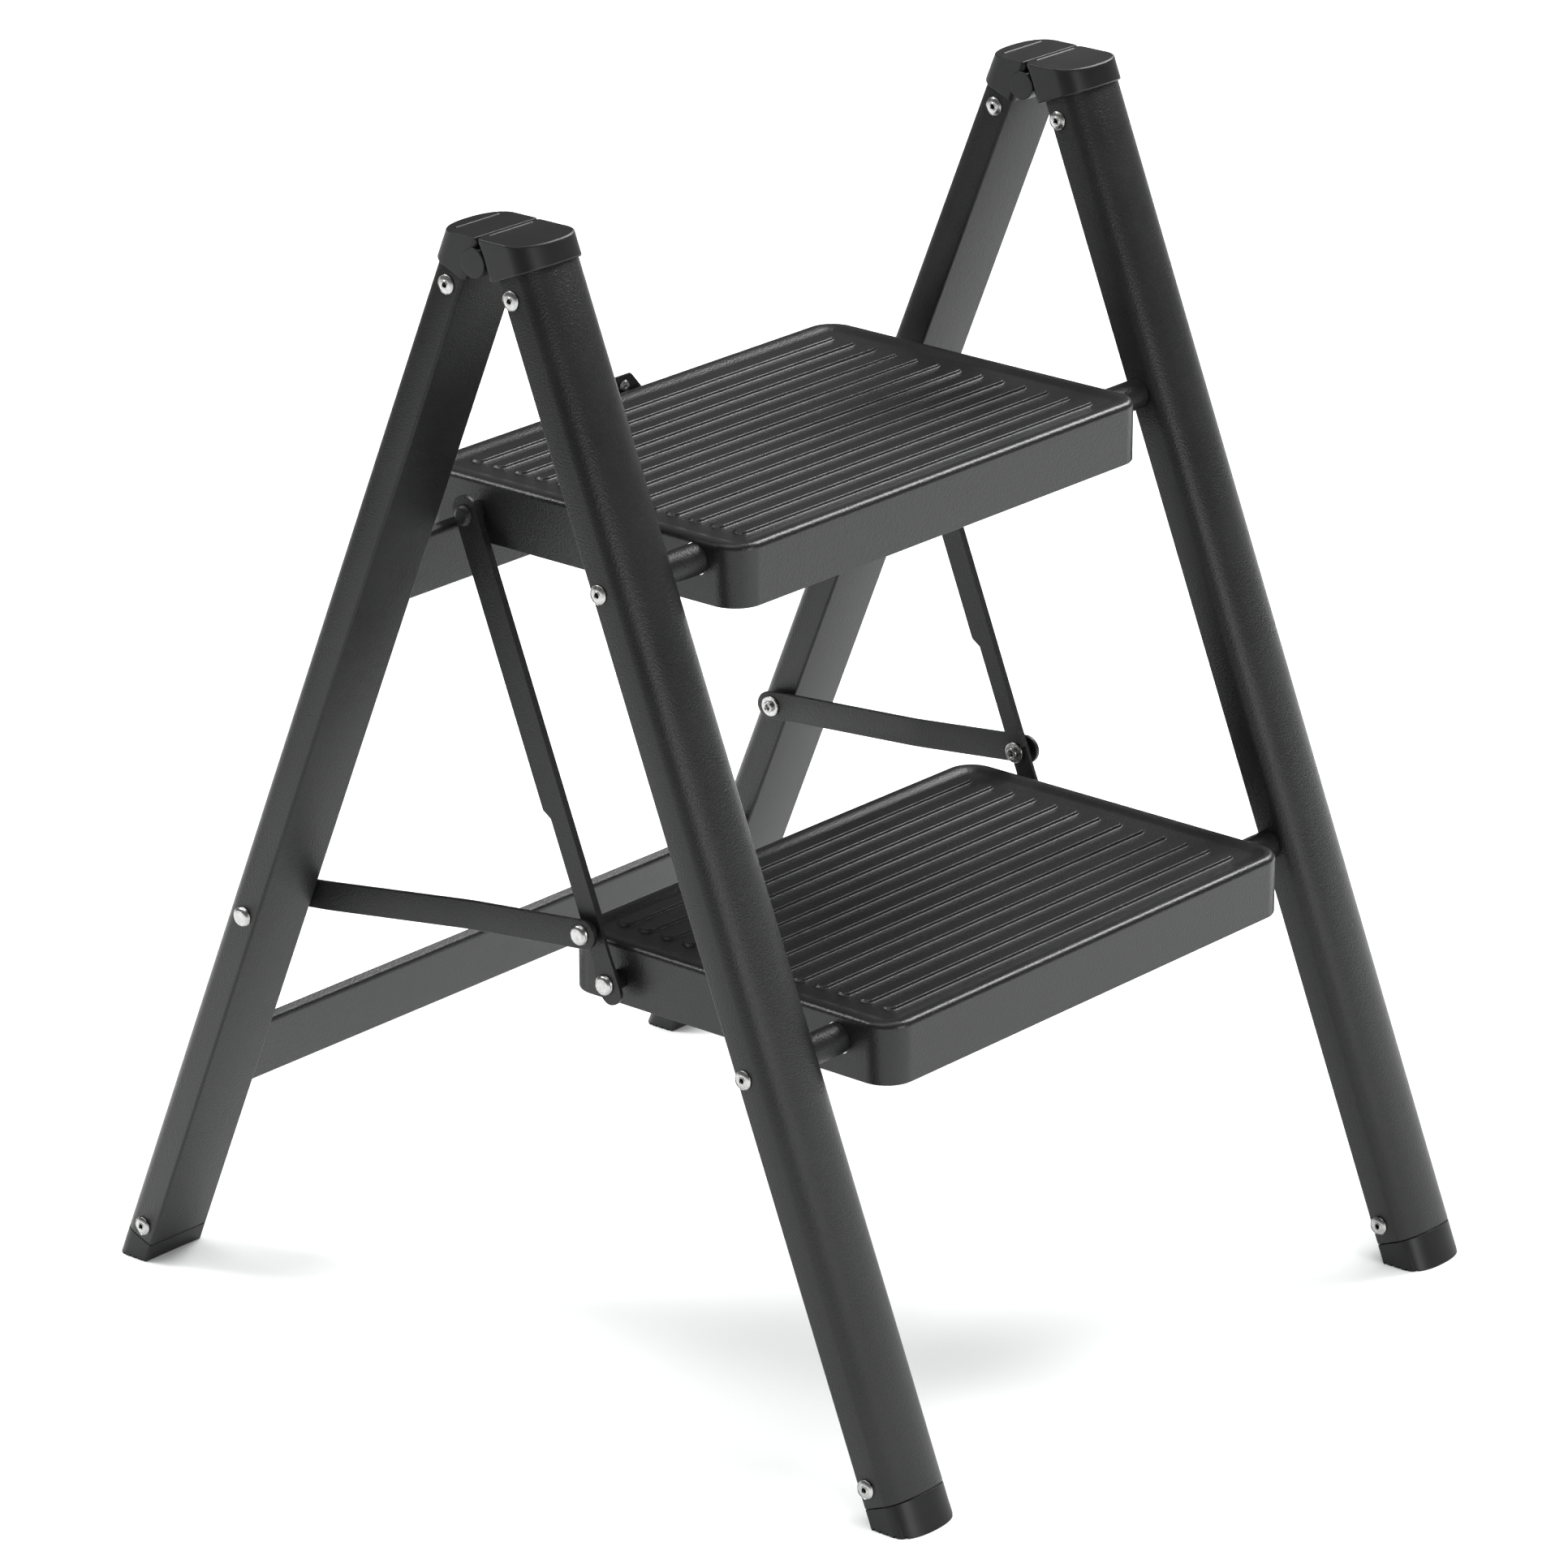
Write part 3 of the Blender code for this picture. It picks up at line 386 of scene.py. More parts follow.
def makeCap(kind, word, side):
    leg = legKinds[kind]
    middle = side * (stool["halfSpan"] - stool["legWidth"] / 2)
    mesh = legSolid(
        kind, middle, capShape["seam"], capShape["blockTop"], capShape["grow"], leg["capBack"])
    piece = plainObject("hingeCap" + kind.title() + word.title(), mesh, mouldedNylon)
    across = (middle - cutWide, middle + cutWide)
    depth = (hinge.y - cutDeep, hinge.y + cutDeep)
    above = boxMesh((across, depth, (capShape["topZ"], capShape["topZ"] + 0.05)))
    combine(piece, "DIFFERENCE", above)
    if kind == "rear":
        # the two caps part along the front cap's back
        low, high = capShape["halving"]
        outline = [(across[0], low), (across[1], low), (across[1], high), (across[0], high)]
        ahead = slab(
            outline, legKinds["front"]["capBack"] - capShape["halvingGap"], high,
            lambda x, up, out: legPlace("front", x, out, -up))
        combine(piece, "DIFFERENCE", ahead)
    roundEdges(piece, capShape["edge"], 4, 40)
    width, split = stool["legWidth"], capShape["split"]
    if kind == "front":
        # the middle knuckle, and room for the rear cap's two
        near, far = split + stool["gap"], width - split - stool["gap"]
        for low, high in ((-capShape["roomPast"], near), (far, width + capShape["roomPast"])):
            room = rodMesh(capShape["room"], inX(side, low), inX(side, high), hinge.y, hinge.z)
            combine(piece, "DIFFERENCE", room)
        combine(piece, "UNION", barrelMesh(inX(side, near), inX(side, far)))
    else:
        start = -capShape["grow"] - capShape["proud"]
        end = width + capShape["grow"] + capShape["proud"]
        for low, high in ((start, split), (width - split, end)):
            combine(piece, "UNION", barrelMesh(inX(side, low), inX(side, high)))
        room = rodMesh(
            capShape["room"], inX(side, split), inX(side, width - split), hinge.y, hinge.z)
        combine(piece, "DIFFERENCE", room)
    ridge = rodMesh(
        capShape["ridgeRadius"], middle - capShape["ridgeHalf"], middle + capShape["ridgeHalf"],
        hinge.y + leg["ridge"],
        capShape["topZ"] + capShape["ridgeRise"] - capShape["ridgeRadius"], 16)
    combine(piece, "UNION", ridge)
    evenShading(piece, 40)
    settle(piece, leg["body"], "molded_plastic", f"cap_{kind}_{word}")


footShape = {
    "end": 0.68, "soleDown": 0.012, "edge": 0.0005,
    "grooves": 5, "pitch": 0.0044, "halfWidth": 0.0008, "depth": 0.0012,
}


def makeFoot(kind, word, side):
    leg = legKinds[kind]
    middle = side * (stool["halfSpan"] - stool["legWidth"] / 2)
    top = leg["tube"][1] + stool["gap"]
    mesh = legSolid(kind, middle, top, footShape["end"])
    piece = plainObject("foot" + kind.title() + word.title(), mesh, mouldedNylon)
    soleOut, soleDown = leg["back"] + stool["legDepth"] / 2, leg["tube"][1] + footShape["soleDown"]
    soleY = legPlace(kind, 0, soleOut, soleDown).y
    across, depth = (middle - cutWide, middle + cutWide), (soleY - cutDeep, soleY + cutDeep)
    combine(piece, "DIFFERENCE", boxMesh((across, depth, (-0.05, 0.0))))
    roundEdges(piece, footShape["edge"], 3, 40)
    grooves = []
    for step in range(footShape["grooves"]):
        y = soleY + (step - (footShape["grooves"] - 1) / 2) * footShape["pitch"]
        spread = (y - footShape["halfWidth"], y + footShape["halfWidth"])
        grooves.append((across, spread, (-0.002, footShape["depth"])))
    combine(piece, "DIFFERENCE", boxMesh(*grooves))
    evenShading(piece)
    settle(piece, leg["body"], "molded_plastic", f"foot_{kind}_{word}")


for kind in legKinds:
    for word, side in sides:
        makeLeg(kind, word, side)
        makeCap(kind, word, side)
        makeFoot(kind, word, side)
for word, side in sides:
    nodes[f"hinge_pin_{word}"].data.materials.clear()
    nodes[f"hinge_pin_{word}"].data.materials.append(zincPlate)
print("legs, caps and feet made")


# step tubes and cross bars

tubeShape = {"radius": 0.008, "edge": 0.0006}


def makeTube(level, axis):
    half = stool["halfSpan"] - stool["legWidth"] - stool["gap"]
    radius, edge = tubeShape["radius"], tubeShape["edge"]
    profile = [(0, half), (radius - edge, half)]
    for turn in (30, 60, 90):
        sine, cosine = math.sin(math.radians(turn)), math.cos(math.radians(turn))
        profile.append((radius - edge + edge * sine, half - edge + edge * cosine))
    profile += [(u, -v) for u, v in reversed(profile)]
    mesh = lathe(profile, 64)
    mesh.transform(Matrix.Translation((0, axis.y, axis.z)) @ alongX)
    piece = plainObject("stepTube" + level.title(), mesh, satinPowderCoat)
    settle(piece, "front_frame", "powder_coat", f"step_tube_{level}")


makeTube("upper", upperAxis)
makeTube("lower", lowerAxis)

barShape = {
    "height": 0.042, "depth": 0.006, "sheet": 0.0015, "offset": 0.0046, "bend": 0.0025,
    "lip": 0.0004,
}
barDown = {"upper": 0.179, "lower": 0.494}     # each bar's upper edge, down the rear legs


def makeBar(level):
    low, high = barDown[level] + barShape["height"], barDown[level]
    near, sheet, bend, lip = (barShape[key] for key in ("offset", "sheet", "bend", "lip"))
    far = near + barShape["depth"]
    outline = rounded([
        (near, high, bend), (far, high, lip), (far, high + sheet, lip),
        (near + sheet, high + sheet, bend - sheet), (near + sheet, low - sheet, bend - sheet),
        (far, low - sheet, lip), (far, low, lip), (near, low, bend)], 8)
    half = stool["halfSpan"] - stool["legWidth"] - stool["gap"]
    mesh = slab(outline, -half, half, lambda out, down, x: legPlace("rear", x, out, down))
    piece = plainObject("crossBar" + level.title(), mesh, satinPowderCoat)
    evenShading(piece)
    settle(piece, "rear_frame", "powder_coat", f"cross_bar_{level}")


makeBar("upper")
makeBar("lower")
print("tubes and bars made")


# step trays: one pressed sheet each, with a rolled rim, a sunken tread and raised ribs

trayShape = {
    "halfWidth": 0.1604, "depth": 0.213, "skirt": 0.0325, "sheet": 0.0012, "corner": 0.016,
    "edge": 0.0032, "lip": 0.0006, "rim": 0.0048, "slope": 0.0076, "recess": 0.0016,
    "underside": ((0.0150, 0.0), (0.0060, 0.0002)), "tubeHole": 0.0083, "cutIn": 0.006,
    "ribs": 13, "pitch": 0.01445, "ribHalf": 0.00425, "ribFoot": 0.0002, "ribTop": 0.0034,
    "ribRise": 0.0013, "ribReach": 0.139,
}
trays = {
    "upper": {"axis": upperAxis, "rise": 0.0106, "inset": 0.0281, "ribStart": 0.0192},
    "lower": {"axis": lowerAxis, "rise": 0.0134, "inset": 0.0341, "ribStart": 0.0179},
}


def easeStep(value):
    value = min(max(value, 0.0), 1.0)
    return value * value * (3 - 2 * value)


def trayRing(tray, inset, z):
    front = tray["axis"].y - tray["inset"] + inset
    rear = tray["axis"].y - tray["inset"] + trayShape["depth"] - inset
    half = trayShape["halfWidth"] - inset
    radius = max(trayShape["corner"] - inset, 0.0025)
    top = tray["axis"].z + tray["rise"]
    outline = rounded([
        (-half, front, radius), (half, front, radius), (half, rear, radius),
        (-half, rear, radius)], 10)
    return [Vector((x, y, top + z)) for x, y in outline]


def trayRings(tray):
    # from under the tread, down inside the skirt, up outside it, over the edge and into the tread
    sheet, skirt, edge, recess = (trayShape[key] for key in ("sheet", "skirt", "edge", "recess"))
    lip, rim, slope = trayShape["lip"], trayShape["rim"], trayShape["slope"]
    rings = [trayRing(tray, inset, -recess - sheet + up) for inset, up in trayShape["underside"]]
    inner = edge - sheet
    for turn in range(0, 91, 30):
        sine, cosine = math.sin(math.radians(turn)), math.cos(math.radians(turn))
        z = -sheet - recess * 0.6 - inner * (1 - cosine)
        rings.append(trayRing(tray, sheet + inner * (1 - sine), z))
    rings.append(trayRing(tray, sheet, -skirt + lip))
    rings.append(trayRing(tray, sheet - lip / 2, -skirt))
    rings.append(trayRing(tray, lip / 2, -skirt))
    rings.append(trayRing(tray, 0.0, -skirt + lip))
    for step in range(0, 9):
        angle = math.radians(90 * step / 8)
        z = -edge * (1 - math.sin(angle))
        rings.append(trayRing(tray, edge * (1 - math.cos(angle)), z))
    rings.append(trayRing(tray, rim - 0.0010, 0.0))
    for step in range(0, 11):
        along = step / 10
        rings.append(trayRing(tray, rim + slope * along, -recess * easeStep(along)))
    return rings


def ribHeight(x, y, lines):
    # height above the tread floor: a flat-topped rib with rounded ends round each centre line
    reach = trayShape["ribReach"] - trayShape["ribHalf"]
    foot = trayShape["ribHalf"] + trayShape["ribFoot"]
    beyond = max(abs(x) - reach, 0.0)
    away = min(math.hypot(beyond, y - line) for line in lines)
    return trayShape["ribRise"] * easeStep((foot - away) / (foot - trayShape["ribTop"]))


def trayMesh(tray):
    builder = bmesh.new()
    made = [[builder.verts.new(point) for point in ring] for ring in trayRings(tray)]
    skin(builder, made)
    builder.faces.new(made[0])
    # the tread floor is a grid, dense where ribs rise
    rear = tray["axis"].y - tray["inset"] + trayShape["depth"]
    first = rear - tray["ribStart"]
    lines = [first - index * trayShape["pitch"] for index in range(trayShape["ribs"])]
    offsets = [0.0, 0.0018, 0.0026, 0.0029, 0.0032, 0.0035, 0.0038, 0.0041, 0.0044, 0.0047]
    rows = sorted({
        round(line + sign * offset, 6)
        for line in lines for offset in offsets for sign in (-1, 1)})
    reach = trayShape["ribReach"] - trayShape["ribHalf"]
    straight = [reach * step / 9 for step in range(10)]
    ends = [reach + offset for offset in offsets[1:]] + [reach + 0.0009, reach + 0.0024]
    halfColumns = sorted(set(straight + ends))
    columns = [-x for x in reversed(halfColumns[1:])] + halfColumns
    floorZ = tray["axis"].z + tray["rise"] - trayShape["recess"]
    grid = [
        [builder.verts.new((x, y, floorZ + ribHeight(x, y, lines))) for x in columns]
        for y in rows]
    for near, far in zip(grid, grid[1:]):
        for index in range(len(columns) - 1):
            builder.faces.new((near[index], near[index + 1], far[index + 1], far[index]))
    # and a band of triangles joins it to the slope round it
    border = grid[0] + [row[-1] for row in grid[1:]]
    border += grid[-1][-2::-1] + [row[0] for row in grid[-2:0:-1]]
    edges = [
        builder.edges.get(pair)
        for loop in (border, made[-1]) for pair in zip(loop, loop[1:] + loop[:1])]
    bmesh.ops.triangle_fill(builder, edges=edges, use_beauty=True)
    return meshFrom(builder)


notchShape = {"front": 0.0020, "rear": 0.0030, "frontSlope": 38, "rearSlope": 30, "past": 0.004}


def cutNotches(piece, tray):
    # the upper cross bar's room in both side skirts, wider towards the bottom
    barFront = legPlace("rear", 0, barShape["offset"], barDown["upper"])
    barRear = legPlace("rear", 0, barShape["offset"] + barShape["depth"], barDown["upper"])
    top = barRear.z + stool["gap"]
    low = tray["axis"].z + tray["rise"] - trayShape["skirt"] - 0.002
    front, rear = barFront.y - notchShape["front"], barRear.y + notchShape["rear"]
    rearFoot = rear + (top - low) * math.tan(math.radians(notchShape["rearSlope"]))
    frontFoot = front - (top - low) * math.tan(math.radians(notchShape["frontSlope"]))
    outline = [(front, top), (rear, top), (rearFoot, low), (frontFoot, low)]
    for word, side in sides:
        start, end = sorted((
            side * (trayShape["halfWidth"] - trayShape["cutIn"]),
            side * (trayShape["halfWidth"] + notchShape["past"])))
        notch = slab(outline, start, end, lambda y, z, x: Vector((x, y, z)))
        combine(piece, "DIFFERENCE", notch)


def makeTray(level):
    tray = trays[level]
    piece = plainObject("stepTray" + level.title(), trayMesh(tray), trayPowderCoat)
    axis, cutIn = tray["axis"], trayShape["cutIn"]
    for word, side in sides:
        start, end = (side * (trayShape["halfWidth"] + reach) for reach in (-cutIn, cutIn))
        hole = rodMesh(trayShape["tubeHole"], start, end, axis.y, axis.z, 40)
        combine(piece, "DIFFERENCE", hole)
    if level == "upper":
        cutNotches(piece, tray)
    evenShading(piece, 50)
    settle(piece, f"{level}_step", "step_coat", f"tray_{level}")


makeTray("upper")
makeTray("lower")
print("step trays pressed")


# links

# out and down are measured from the upper rivet; a long link hangs parallel to the front legs
linkShape = {
    "face": 0.060, "sheet": 0.002, "flange": 0.002, "edge": 0.0004, "rear": 0.0085,
    "front": -0.0065, "waist": -0.0030, "start": -0.0100, "waistDown": (0.158, 0.232),
    "tipRear": 0.0089, "tipFront": -0.0044, "tipDown": 0.240, "past": 0.011,
    "lipDown": (-0.004, 0.215), "lipIn": 0.0065,
}
shortShape = {
    "near": 0.0448, "far": 0.0533, "sheet": 0.0025, "halfWidth": 0.0077, "beyond": 0.0097,
    "slant": (0.015, 0.110), "edge": 0.0005, "sharedUp": 0.0284,
}
lowerRivet = Vector((
    0, lowerAxis.y + upperRivet.y - upperAxis.y, lowerAxis.z + upperRivet.z - upperAxis.z))
linkLength = math.dist(upperRivet[1:], lowerRivet[1:])
upLink = Vector((0, math.sin(stool["frontLean"]), math.cos(stool["frontLean"])))
sharedPivot = lowerRivet + upLink * shortShape["sharedUp"]


def linkPlace(out, down, x):
    sine, cosine = math.sin(stool["frontLean"]), math.cos(stool["frontLean"])
    y = upperRivet.y - down * sine - out * cosine
    z = upperRivet.z - down * cosine + out * sine
    return Vector((x, y, z))


def makeLongLink(word, side):
    rear, front, waist = linkShape["rear"], linkShape["front"], linkShape["waist"]
    tipRear, tipFront, tipDown = (linkShape[key] for key in ("tipRear", "tipFront", "tipDown"))
    start, end = linkShape["start"], linkLength + linkShape["past"]
    high, low = linkShape["waistDown"]
    # (out, down, radius) round the strap, which narrows below its middle
    outline = rounded([
        (rear, start, 0.007), (front, start, 0.007), (front, high - 0.005, 0.0015),
        (waist, high, 0.0015), (waist, low, 0.003), (tipFront, tipDown, 0.003),
        (tipFront, end, 0.006), (tipRear, end, 0.0065), (tipRear, tipDown, 0.003),
        (rear, low, 0.003)], 10)
    near, far = inX(side, linkShape["face"]), inX(side, linkShape["face"] + linkShape["sheet"])
    mesh = slab(outline, near, far, linkPlace)
    piece = plainObject("longLink" + word.title(), mesh, satinPowderCoat)
    # a lip folded inwards along the rear edge stiffens it
    high, low = linkShape["lipDown"]
    lip = [(rear, high), (linkShape["lipIn"], high), (linkShape["lipIn"], low), (rear, low)]
    start = inX(side, linkShape["face"] + linkShape["sheet"] / 2)
    end = inX(side, linkShape["face"] + linkShape["sheet"] + linkShape["flange"])
    combine(piece, "UNION", slab(lip, start, end, linkPlace))
    roundEdges(piece, linkShape["edge"], 3, 50)
    evenShading(piece)
    settle(piece, f"long_link_{word}", "powder_coat", f"link_long_{word}")


def slantAt(value, soft=0.06):
    # a straight slant from 0 to 1 with a short bend at either end
    value = min(max(value, -soft), 1.0 + soft)
    if value < soft:
        return (value + soft) ** 2 / (4 * soft)
    if value > 1.0 - soft:
        return 1.0 - (1.0 + soft - value) ** 2 / (4 * soft)
    return value


def makeShortLink(word, side):
    start = Vector((0, rearPivot.y, rearPivot.z))
    run = sharedPivot - start
    length = run.length
    along = run.normalized()
    across = along.cross(Vector((1, 0, 0)))
    half, beyond, edge = shortShape["halfWidth"], shortShape["beyond"], shortShape["edge"]
    sheet, near = shortShape["sheet"], shortShape["near"]
    travel = shortShape["far"] - near
    low, high = shortShape["slant"]
    tip = [-beyond + half * (1 - math.cos(math.radians(a))) for a in range(6, 91, 7)]
    stations = tip + [low + (high - low) * step / 20 for step in range(-1, 22)]
    stations += [length - t for t in reversed(tip)]
    rings = []
    for t in stations:
        endGap = min(t + beyond, length + beyond - t)
        width = half
        if endGap < half:
            width = max(math.sqrt(max(half ** 2 - (half - endGap) ** 2, 0.0)), 0.0012)
        depth = near + travel * slantAt((t - low) / (high - low))
        ring = rounded([
            (-width, 0, edge), (width, 0, edge), (width, sheet, edge), (-width, sheet, edge)], 3)
        rings.append([
            start + along * t + across * u + Vector((inX(side, depth + v), 0, 0))
            for u, v in ring])
    piece = plainObject("shortLink" + word.title(), smoothed(loft(rings), 40), satinPowderCoat)
    settle(piece, f"short_link_{word}", "powder_coat", f"link_short_{word}")


for word, side in sides:
    makeLongLink(word, side)
    makeShortLink(word, side)
print("links made")


# rivets: one Geometry Nodes tree sets a rivet on each spot, facing the way its spot says

def rivetTree():
    tree = bpy.data.node_groups.new("rivetField", "GeometryNodeTree")
    inputs = {
        "Spots": "Geometry", "Rivet": "Object", "Finish": "Material", "Size": "Float",
        "Seed": "Int"}
    for name, kind in inputs.items():
        tree.interface.new_socket(name, in_out="INPUT", socket_type="NodeSocket" + kind)
    tree.interface.new_socket("Rivets", in_out="OUTPUT", socket_type="NodeSocketGeometry")
    given = addNode(tree, "NodeGroupInput").outputs
    facing = addNode(
        tree, "GeometryNodeInputNamedAttribute", {"Name": "facing"},
        data_type="FLOAT_VECTOR").outputs[0]
    shape = addNode(
        tree, "GeometryNodeObjectInfo", links={"Object": given["Rivet"]}).outputs["Geometry"]
    aim = addNode(
        tree, "FunctionNodeAlignRotationToVector", links={"Vector": facing},
        axis="Z").outputs["Rotation"]
    # each rivet was set at its own turn about its axis
    turn = addNode(
        tree, "FunctionNodeRandomValue", {"Max": math.tau}, {"Seed": given["Seed"]},
        data_type="FLOAT")
    spin = addNode(
        tree, "FunctionNodeAxisAngleToRotation", {"Axis": (0, 0, 1)}, {"Angle": turn.outputs[1]})
    rotation = addNode(
        tree, "FunctionNodeRotateRotation",
        links={"Rotation": aim, "Rotate By": spin.outputs["Rotation"]},
        rotation_space="LOCAL").outputs["Rotation"]
    placed = addNode(
        tree, "GeometryNodeInstanceOnPoints",
        links={
            "Points": given["Spots"], "Instance": shape, "Rotation": rotation,
            "Scale": given["Size"]})
    real = addNode(
        tree, "GeometryNodeRealizeInstances", links={"Geometry": placed.outputs["Instances"]})
    finished = addNode(
        tree, "GeometryNodeSetMaterial",
        links={"Geometry": real.outputs["Geometry"], "Material": given["Finish"]})
    addNode(tree, "NodeGroupOutput", links={"Rivets": finished.outputs["Geometry"]})
    return tree


rivetField = rivetTree()


def setRivets(name, body, profile, spots, material, slotName, replaced):
    # spots: (point under the head, direction that the head faces)
    mesh = bpy.data.meshes.new(name)
    mesh.from_pydata([point for point, facing in spots], [], [])
    facings = mesh.attributes.new("facing", "FLOAT_VECTOR", "POINT")
    for value, (point, facing) in zip(facings.data, spots):
        value.vector = facing
    piece = plainObject(name, mesh, material)
    rivet = plainObject("oneRivet", lathe(profile), material)
    modifier = piece.modifiers.new("Rivets", "NODES")
    modifier.node_group = rivetField
    values = {"Rivet": rivet, "Finish": material, "Size": 1.0, "Seed": 7}
    for item in rivetField.interface.items_tree:
        if item.in_out == "INPUT" and item.name in values:
            modifier[item.identifier] = values[item.name]
    applyModifiers(piece)
    bpy.data.objects.remove(rivet)
    smoothed(piece.data, 36)
    settle(piece, body, slotName, *replaced)


def spotAt(side, distance, at, outward=1):
    # a rivet's spot, in from a leg's outer face; outward 1 faces away from the stool, -1 into it
    return (Vector((inX(side, distance), at.y, at.z)), (outward * side, 0, 0))


# a blind rivet's head: a domed flange round a collar, and the hole that the mandrel leaves
blindHead = (
    [(0.0013, -0.0003), (0.00135, 0.0010)]
    + arcPoints((0.00175, 0.00115), 0.0004, 180, 60, 6)
    + [(0.0022, 0.00125)]
    + arcPoints((0.0017, -0.0040), 0.0053, 80, 56, 8)
    + arcPoints((0.00465, 0.0003), 0.00035, 60, 0, 4)
    + [(0.0050, -0.0001), (0.0013, -0.0003)])
# a solid rivet's flat-topped head
solidHead = (
    [(0.0, 0.00235), (0.0030, 0.0023)] + arcPoints((0.0030, -0.0002), 0.0025, 80, 14, 8)
    + [(0.0055, 0.0003), (0.0055, -0.0001), (0.0, -0.0003)])
# its far end: rolled over a washer, with a hollow in the middle
rolledTail = (
    [(0.0, 0.0014), (0.0013, 0.0014), (0.0016, 0.0026)]
    + arcPoints((0.00235, 0.0025), 0.00075, 170, 0, 8)
    + [(0.0031, 0.0012), (0.0050, 0.0012)] + arcPoints((0.0052, 0.0007), 0.0005, 90, 0, 4)
    + [(0.0057, -0.0001), (0.0, -0.0003)])
gap = stool["gap"]
rivetDown = {
    "front": {"cap": (0.0223, 0.0161), "foot": (0.6247, 0.0161)},
    "rear": {"cap": (0.0206, 0.0120), "foot": (0.6247, 0.0121)},
}


def setLegRivets(kind):
    spots, replaced = [], []
    for word, side in sides:
        for label, (down, out) in rivetDown[kind].items():
            outer, inner = inX(side, -gap), inX(side, stool["legWidth"] + gap)
            spots.append((legPlace(kind, outer, out, down), (side, 0, 0)))
            spots.append((legPlace(kind, inner, out, down), (-side, 0, 0)))
            replaced.append(f"{label}_rivet_{kind}_{word}")
        if kind == "front":
            for level, axis in (("upper", upperAxis), ("lower", lowerAxis)):
                spots.append(spotAt(side, -gap, axis))
                replaced.append(f"tube_rivet_{level}_{word}")
    setRivets(
        f"{kind}LegRivets", legKinds[kind]["body"], blindHead, spots, rivetAluminium,
        "bright_metal", replaced)


washers = {"pivotRadius": 0.006, "trayRadius": 0.005, "hole": 0.0020, "edge": 0.0003}


def washerProfile(radius, thickness):
    hole, edge = washers["hole"], washers["edge"]
    return [
        (hole, thickness), (radius - edge, thickness), (radius, thickness - edge),
        (radius, edge), (radius - edge, 0.0), (hole, 0.0), (hole, thickness)]


def setPivotRivets():
    # the short links' rivets: one to each rear leg, and one that each shares with a long link
    faceIn = shortShape["near"] + shortShape["sheet"] + gap
    setRivets(
        "rearPivotHeads", "rear_frame", solidHead,
        [spotAt(side, -gap, rearPivot) for word, side in sides], rivetAluminium,
        "bright_metal", ["pivot_rivet_rear_left", "pivot_rivet_rear_right"])
    setRivets(
        "rearPivotTails", "rear_frame", rolledTail,
        [spotAt(side, faceIn, rearPivot, -1) for word, side in sides], rivetAluminium,
        "bright_metal", [])
    thickness = shortShape["near"] - stool["legWidth"] - 2 * gap
    setRivets(
        "rearPivotWashers", "rear_frame", washerProfile(washers["pivotRadius"], thickness),
        [spotAt(side, stool["legWidth"] + gap, rearPivot, -1) for word, side in sides],
        satinPowderCoat, "powder_coat", [])
    start = shortShape["far"] + shortShape["sheet"] + gap
    thickness = linkShape["face"] - gap - start
    faceIn = linkShape["face"] + linkShape["sheet"] + gap
    for word, side in sides:
        title = word.title()
        setRivets(
            f"sharedPivotHead{title}", f"short_link_{word}", solidHead,
            [spotAt(side, shortShape["far"] - gap, sharedPivot)], rivetAluminium,
            "bright_metal", [f"pivot_rivet_{word}"])
        setRivets(
            f"sharedPivotSpacer{title}", f"short_link_{word}",
            washerProfile(washers["pivotRadius"], thickness),
            [spotAt(side, start, sharedPivot, -1)], satinPowderCoat, "powder_coat", [])
        setRivets(
            f"sharedPivotTail{title}", f"long_link_{word}", rolledTail,
            [spotAt(side, faceIn, sharedPivot, -1)], rivetAluminium,
            "bright_metal", [f"pivot_tail_{word}"])


def setTrayRivets(level, place, material, slotName):
    # a head on the long link, a spacer between link and tray, and a tail inside the skirt
    stepFace = stool["halfSpan"] - trayShape["halfWidth"]
    shoulder = linkShape["face"] + linkShape["sheet"] + gap
    inner = stepFace + trayShape["sheet"] + gap
    title = level.title()
    setRivets(
        f"trayRivetHeads{title}", f"{level}_step", solidHead,
        [spotAt(side, linkShape["face"] - gap, place) for word, side in sides], material,
        slotName, [f"link_rivet_{level}_{word}" for word, side in sides])
    setRivets(
        f"trayRivetSpacers{title}", f"{level}_step",
        washerProfile(washers["trayRadius"], stepFace - gap - shoulder),
        [spotAt(side, shoulder, place, -1) for word, side in sides], satinPowderCoat,
        "powder_coat", [])
    smallTail = [(radius * 0.9, height * 0.8) for radius, height in rolledTail]
    setRivets(
        f"trayRivetTails{title}", f"{level}_step", smallTail,
        [spotAt(side, inner, place, -1) for word, side in sides], rivetAluminium,
        "bright_metal", [])


for kind in legKinds:
    setLegRivets(kind)
setPivotRivets()
setTrayRivets("upper", upperRivet, satinPowderCoat, "powder_coat")
setTrayRivets("lower", lowerRivet, rivetAluminium, "bright_metal")
print("rivets set")


# lock at the back of the upper tray

def refined(name, node, body, material, slotName, width=0.0):
    # a merged copy of a CAD node with its flats whole and its edges rounded
    builder = bmesh.new()
    builder.from_mesh(nodes[node].data)
    bmesh.ops.remove_doubles(builder, verts=builder.verts, dist=0.000004)
    bmesh.ops.dissolve_limit(
        builder, angle_limit=math.radians(1), verts=builder.verts, edges=builder.edges)
    mesh = bpy.data.meshes.new(name)
    builder.to_mesh(mesh)
    builder.free()
    piece = plainObject(name, mesh, material)
    if width:
        roundEdges(piece, width, 2)
    evenShading(piece, 40)
    settle(piece, body, slotName, node)


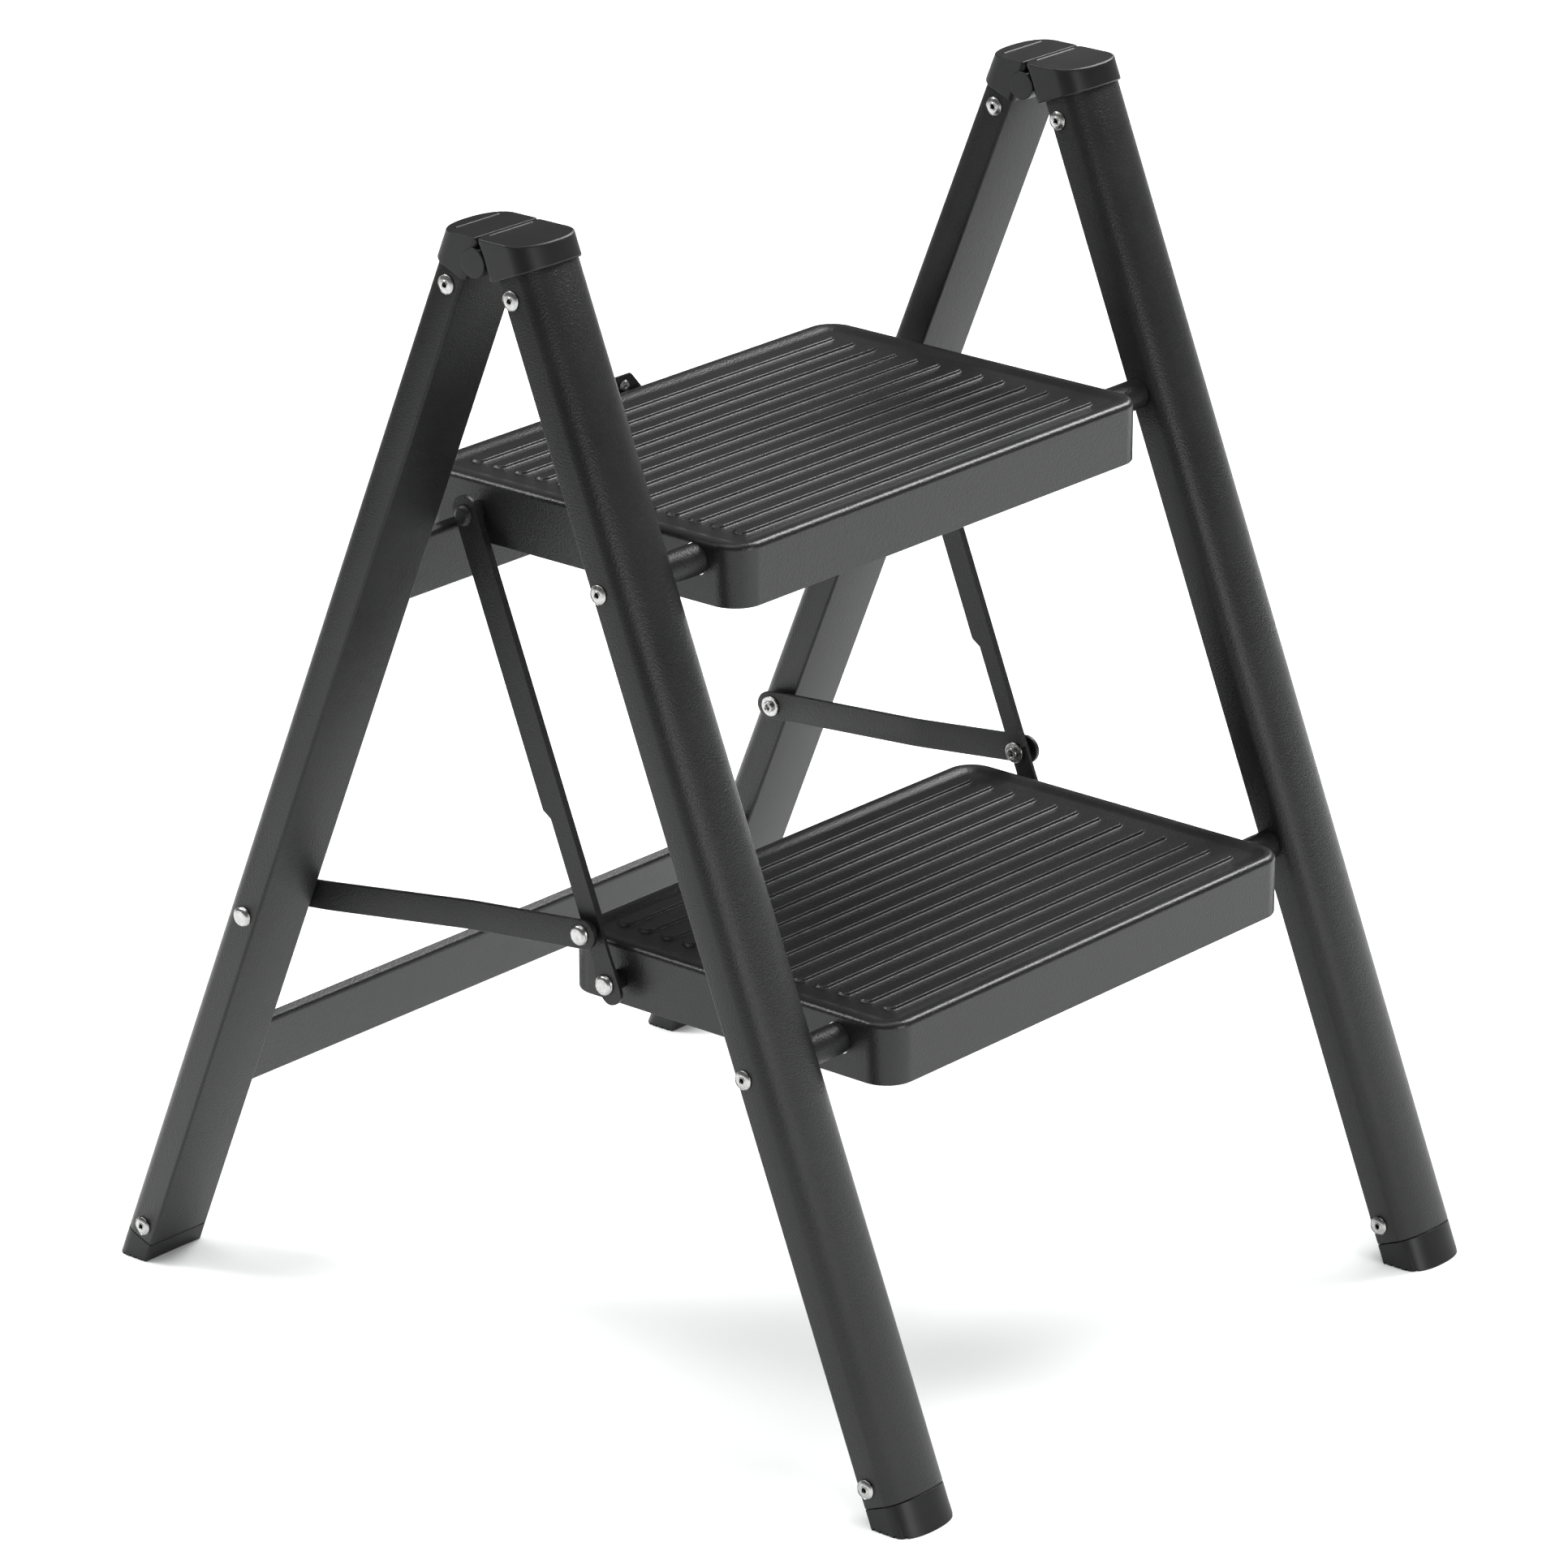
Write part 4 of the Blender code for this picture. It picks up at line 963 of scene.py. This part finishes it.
lockEdge = 0.0003
refined("lockLever", "lock_lever", "lock", satinPowderCoat, "powder_coat", lockEdge)
refined("lockBracket", "lock_bracket", "upper_step", satinPowderCoat, "powder_coat", lockEdge)
refined("lockPin", "lock_pin", "upper_step", zincPlate, "bright_metal")
refined("lockSpring", "lock_spring", "lock", zincPlate, "spring_steel")
refined("lockRivet", "lock_rivet", "lock", rivetAluminium, "bright_metal")
for word, side in sides:
    refined(
        f"bracketRivet{word.title()}", f"bracket_rivet_{word}", "upper_step", rivetAluminium,
        "bright_metal")
print("lock made")


# floor, lights and camera

studio = {"floor": "#f6f7f7", "air": 0.78, "cards": 0.14, "floorSize": 14.0}


def makeFloor():
    builder = bmesh.new()
    bmesh.ops.create_grid(builder, x_segments=1, y_segments=1, size=studio["floorSize"])
    mesh = meshFrom(builder)
    material = bpy.data.materials.new("paperFloor")
    material.use_nodes = True
    shader = material.node_tree.nodes["Principled BSDF"]
    shader.inputs["Base Color"].default_value = hexColor(studio["floor"])
    shader.inputs["Roughness"].default_value = 0.85
    shader.inputs["Specular IOR Level"].default_value = 0.1
    floor = plainObject("floor", mesh, material)


def makeLight(name, place, aim, size, power):
    light = bpy.data.lights.new(name, "AREA")
    light.shape = "RECTANGLE"
    light.size, light.size_y = size
    light.energy = power
    holder = bpy.data.objects.new(name, light)
    holder.location = place
    holder.rotation_euler = (Vector(aim) - Vector(place)).to_track_quat("-Z", "Y").to_euler()
    bpy.context.scene.collection.objects.link(holder)


def makeSky(power, spread, aim):
    light = bpy.data.lights.new("softSky", "SUN")
    light.energy = power
    light.angle = math.radians(spread)
    holder = bpy.data.objects.new("softSky", light)
    holder.rotation_euler = (-Vector(aim)).to_track_quat("-Z", "Y").to_euler()
    bpy.context.scene.collection.objects.link(holder)


makeFloor()
makeSky(1.15, 50, (-0.15, 0.1, 0.97))
makeLight("keySoftbox", (0.1, -3.4, 1.0), (0, 0, 0.35), (1.0, 1.4), 34)
makeLight("backSoftbox", (-1.3, 2.0, 2.7), (0, 0, 0.35), (0.8, 0.8), 50)
makeLight("rightSoftbox", (2.2, 0.1, 2.3), (0, 0, 0.35), (1.4, 1.4), 80)


def makeWorld():
    # a white backdrop, mirrored only faintly, as black cards round the stool would have it
    world = bpy.data.worlds.new("studioAir")
    bpy.context.scene.world = world
    world.use_nodes = True
    tree = world.node_tree
    backdrop = tree.nodes["Background"]
    backdrop.inputs["Color"].default_value = (1, 1, 1, 1)
    paths = addNode(tree, "ShaderNodeLightPath").outputs
    air = addNode(
        tree, "ShaderNodeMapRange", {"To Min": studio["air"], "To Max": studio["cards"]},
        {"Value": paths["Is Glossy Ray"]}).outputs["Result"]
    level = addNode(
        tree, "ShaderNodeMix", {"B": 1.0},
        {"Factor": paths["Is Camera Ray"], "A": air}).outputs["Result"]
    tree.links.new(level, backdrop.inputs["Strength"])
    bpy.context.scene.view_settings.view_transform = "Standard"


makeWorld()

view = {
    "place": (-2.9106, -2.4739, 1.6857), "azimuth": -49.593, "elevation": 20.434,
    "lens": 181.506,
}


def makeCamera():
    camera = bpy.data.cameras.new("camera")
    camera.lens = view["lens"]
    camera.sensor_width = 36
    camera.clip_end = 60
    holder = bpy.data.objects.new("camera", camera)
    a, e = math.radians(view["azimuth"]), math.radians(view["elevation"])
    back = Vector((math.sin(a) * math.cos(e), -math.cos(a) * math.cos(e), math.sin(e)))
    holder.location = view["place"]
    holder.rotation_euler = (-back).to_track_quat("-Z", "Y").to_euler()
    bpy.context.scene.collection.objects.link(holder)
    bpy.context.scene.camera = holder


makeCamera()
print("floor, lights and camera ready")
